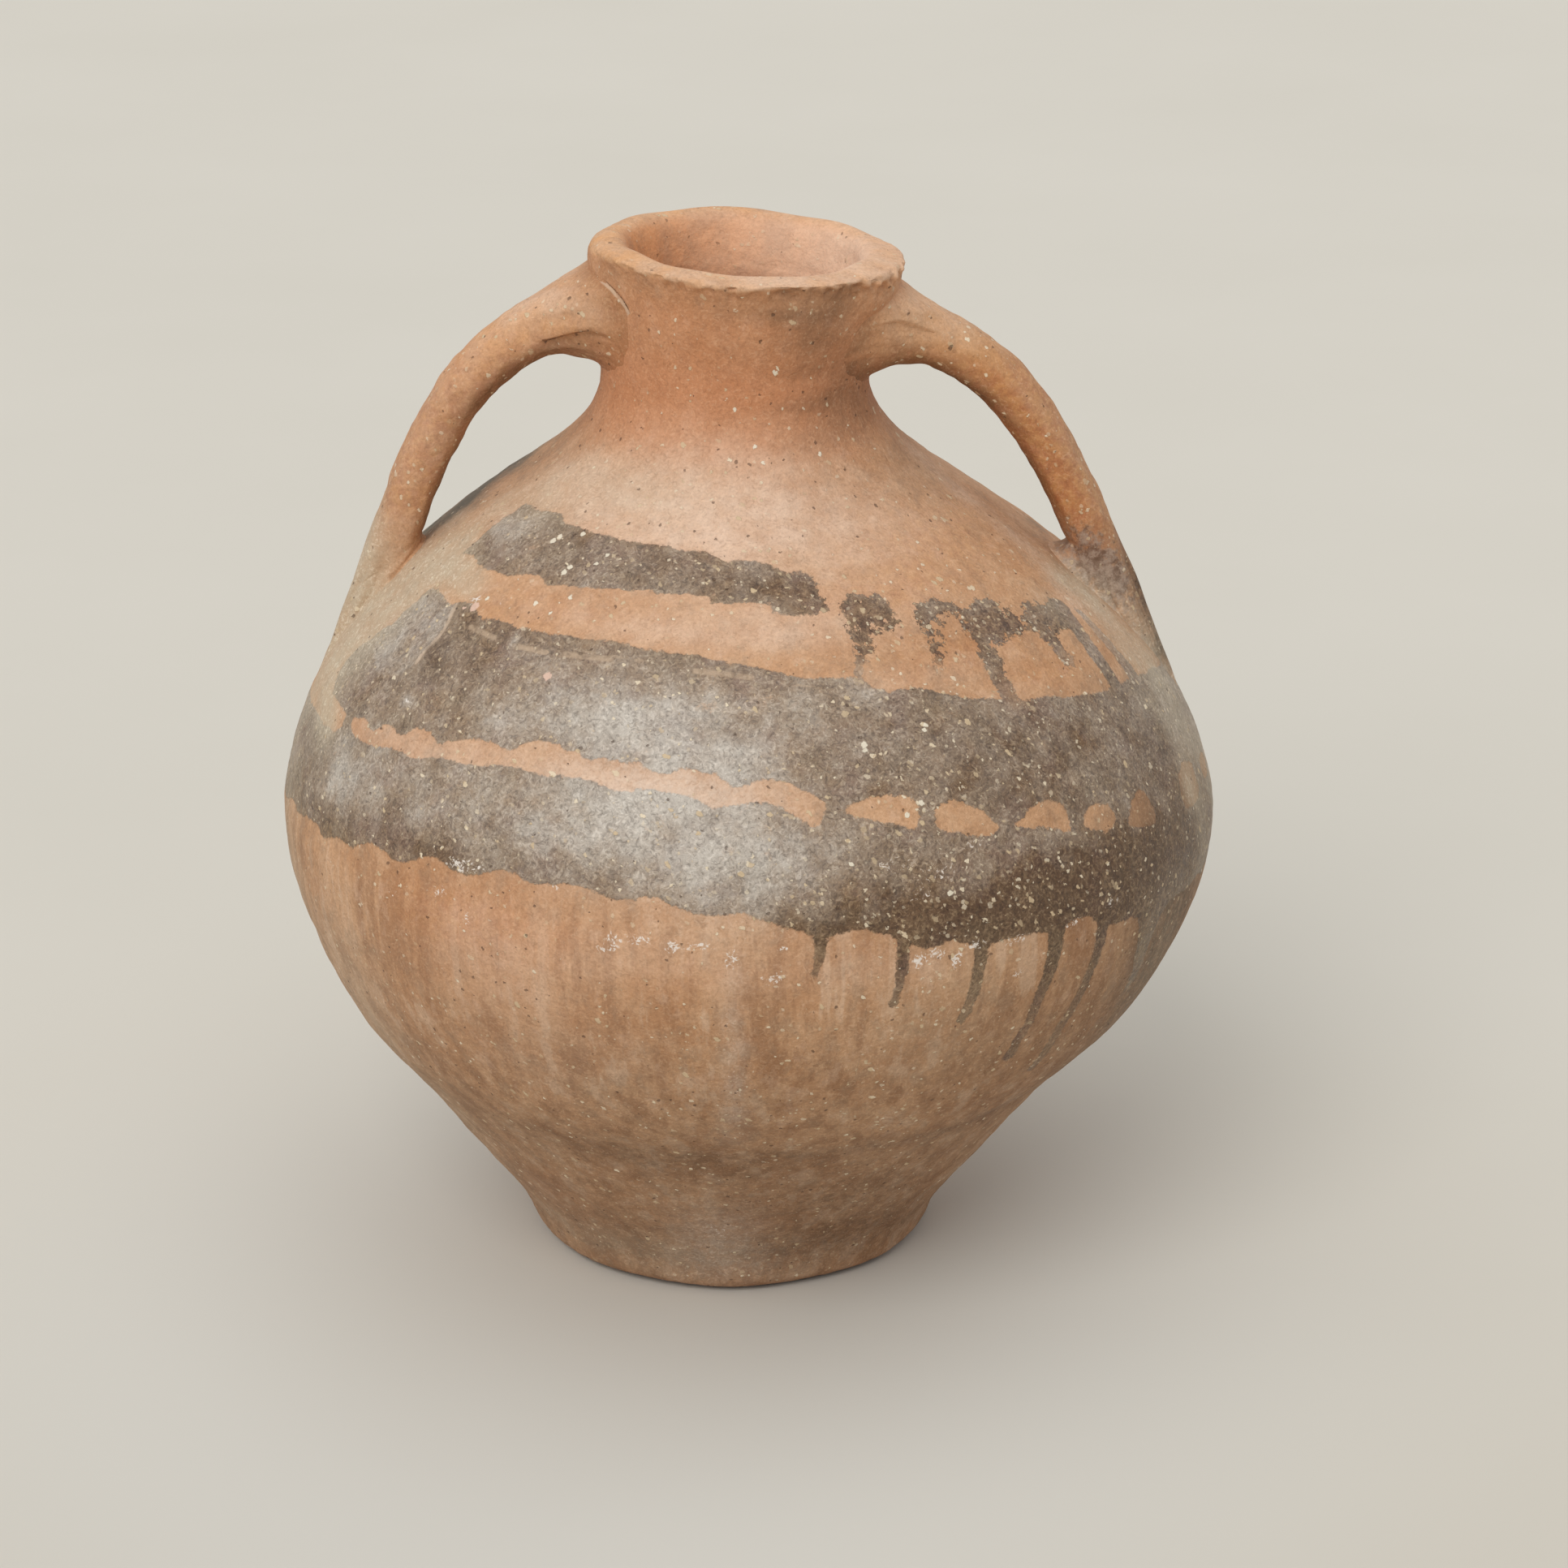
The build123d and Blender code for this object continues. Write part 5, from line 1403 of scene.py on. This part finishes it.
    h = t.mul(n_fine, t.math("MULTIPLY_ADD", cover, .10, .07))
    h = t.add(h, t.mul(n_small, .36))
    h = t.add(h, t.mul(n_mid, 1.4))
    h = t.add(h, t.mul(swirl, t.math("MULTIPLY_ADD", cover, .18, .09)))
    h = t.add(h, t.mul(n_flat, .10))
    h = t.add(h, t.mul(cover, .05))
    h = t.add(h, t.mul(grains, .16))
    h = t.math("SUBTRACT", h, t.mul(pits, .30))
    h = t.math("SUBTRACT", h, t.mul(score, .18))
    h = t.math("SUBTRACT", h, t.mul(ck, .5))
    h = t.add(h, t.mul(n_crumb, t.mul(crumb, .5)))
    b = t.node("ShaderNodeBump")
    b.inputs["Strength"].default_value = 1.0
    b.inputs["Distance"].default_value = MM
    t.put(h, b.inputs["Height"])

    bsdf = t.node("ShaderNodeBsdfPrincipled")
    t.put(c, bsdf.inputs["Base Color"])
    t.put(rough, bsdf.inputs["Roughness"])
    bsdf.inputs["Specular IOR Level"].default_value = 0.38
    t.put(b.outputs[0], bsdf.inputs["Normal"])
    out = t.node("ShaderNodeOutputMaterial")
    t.put(bsdf.outputs[0], out.inputs[0])
    return mat


earth = clay_material("earthenware")
for o in list(bpy.data.objects):
    if o.name.startswith("jar_"):
        o.data.materials.append(earth)

# ------------------------------------------------------------------ stage
floor_mesh = bpy.data.meshes.new("floor")
floor_mesh.from_pydata([(-9, -7, 0), (9, -7, 0), (9, 11, 0), (-9, 11, 0)], [], [(0, 1, 2, 3)])
floor = bpy.data.objects.new("floor", floor_mesh)
scene.collection.objects.link(floor)
fmat = bpy.data.materials.new("pale_floor")
ft = Tree(fmat)
ftc = ft.node("ShaderNodeTexCoord")
fn, _ = ft.noise(ftc.outputs["Object"], .35, 4, .55)
fc = ft.mix(fn, col(212, 208, 197), col(218, 214, 204))
fs = ft.node("ShaderNodeSeparateXYZ")
ft.put(ftc.outputs["Object"], fs.inputs[0])
# painted shade: the floor darker and warmer towards the camera
fc = ft.mix(ft.ramp(fs.outputs[1], .3, -.9), fc, col(205, 199, 186))
# painted light: the floor paler round the jar, offsetting the jar's own shadow
fd = ft.node("ShaderNodeVectorMath", operation="DISTANCE")
ft.put(ftc.outputs["Object"], fd.inputs[0])
fd.inputs[1].default_value = (-0.05, -0.12, 0)
fc = ft.mix(ft.ramp(fd.outputs["Value"], .42, .14), fc, col(217, 215, 207))
fb = ft.node("ShaderNodeBsdfPrincipled")
ft.put(fc, fb.inputs["Base Color"])
fb.inputs["Roughness"].default_value = 0.9
fb.inputs["Specular IOR Level"].default_value = 0.1
fo = ft.node("ShaderNodeOutputMaterial")
ft.put(fb.outputs[0], fo.inputs[0])
floor_mesh.materials.append(fmat)

world = bpy.data.worlds.new("studio")
scene.world = world
world.use_nodes = True
bg = world.node_tree.nodes.get("Background") or world.node_tree.nodes.new("ShaderNodeBackground")
bg.inputs[0].default_value = (0.98, 0.985, 1.0, 1)
bg.inputs[1].default_value = 0.50


def aim(obj, direction):
    obj.rotation_mode = "QUATERNION"
    obj.rotation_quaternion = Vector(direction).to_track_quat("-Z", "Y")


key = bpy.data.lights.new("key", "SUN")
key.energy = 0.66
key.angle = math.radians(80)
key.color = (1.0, 0.985, 0.96)
key_o = bpy.data.objects.new("key", key)
scene.collection.objects.link(key_o)
aim(key_o, (0.16, 0.22, -0.96))

front = bpy.data.lights.new("front", "SUN")
front.energy = 1.05
front.angle = math.radians(34)
front.color = (1.0, 0.98, 0.95)
front_o = bpy.data.objects.new("front", front)
scene.collection.objects.link(front_o)
aim(front_o, (0.30, 0.69, -0.66))

back = bpy.data.lights.new("back", "SUN")
back.energy = 0.32
back.angle = math.radians(60)
back_o = bpy.data.objects.new("back", back)
scene.collection.objects.link(back_o)
aim(back_o, (-0.30, -0.70, -0.65))

cam = bpy.data.cameras.new("camera")
cam.sensor_width = 36
cam.lens = 106.48
cam.clip_end = 60
cam_o = bpy.data.objects.new("camera", cam)
scene.collection.objects.link(cam_o)
cam_o.location = (0.0227, -1.86965, 0.9110)
aim(cam_o, Vector((0.0227, 0, 0.2008)) - cam_o.location)
scene.camera = cam_o

scene.view_settings.view_transform = "Standard"
scene.view_settings.look = "None"
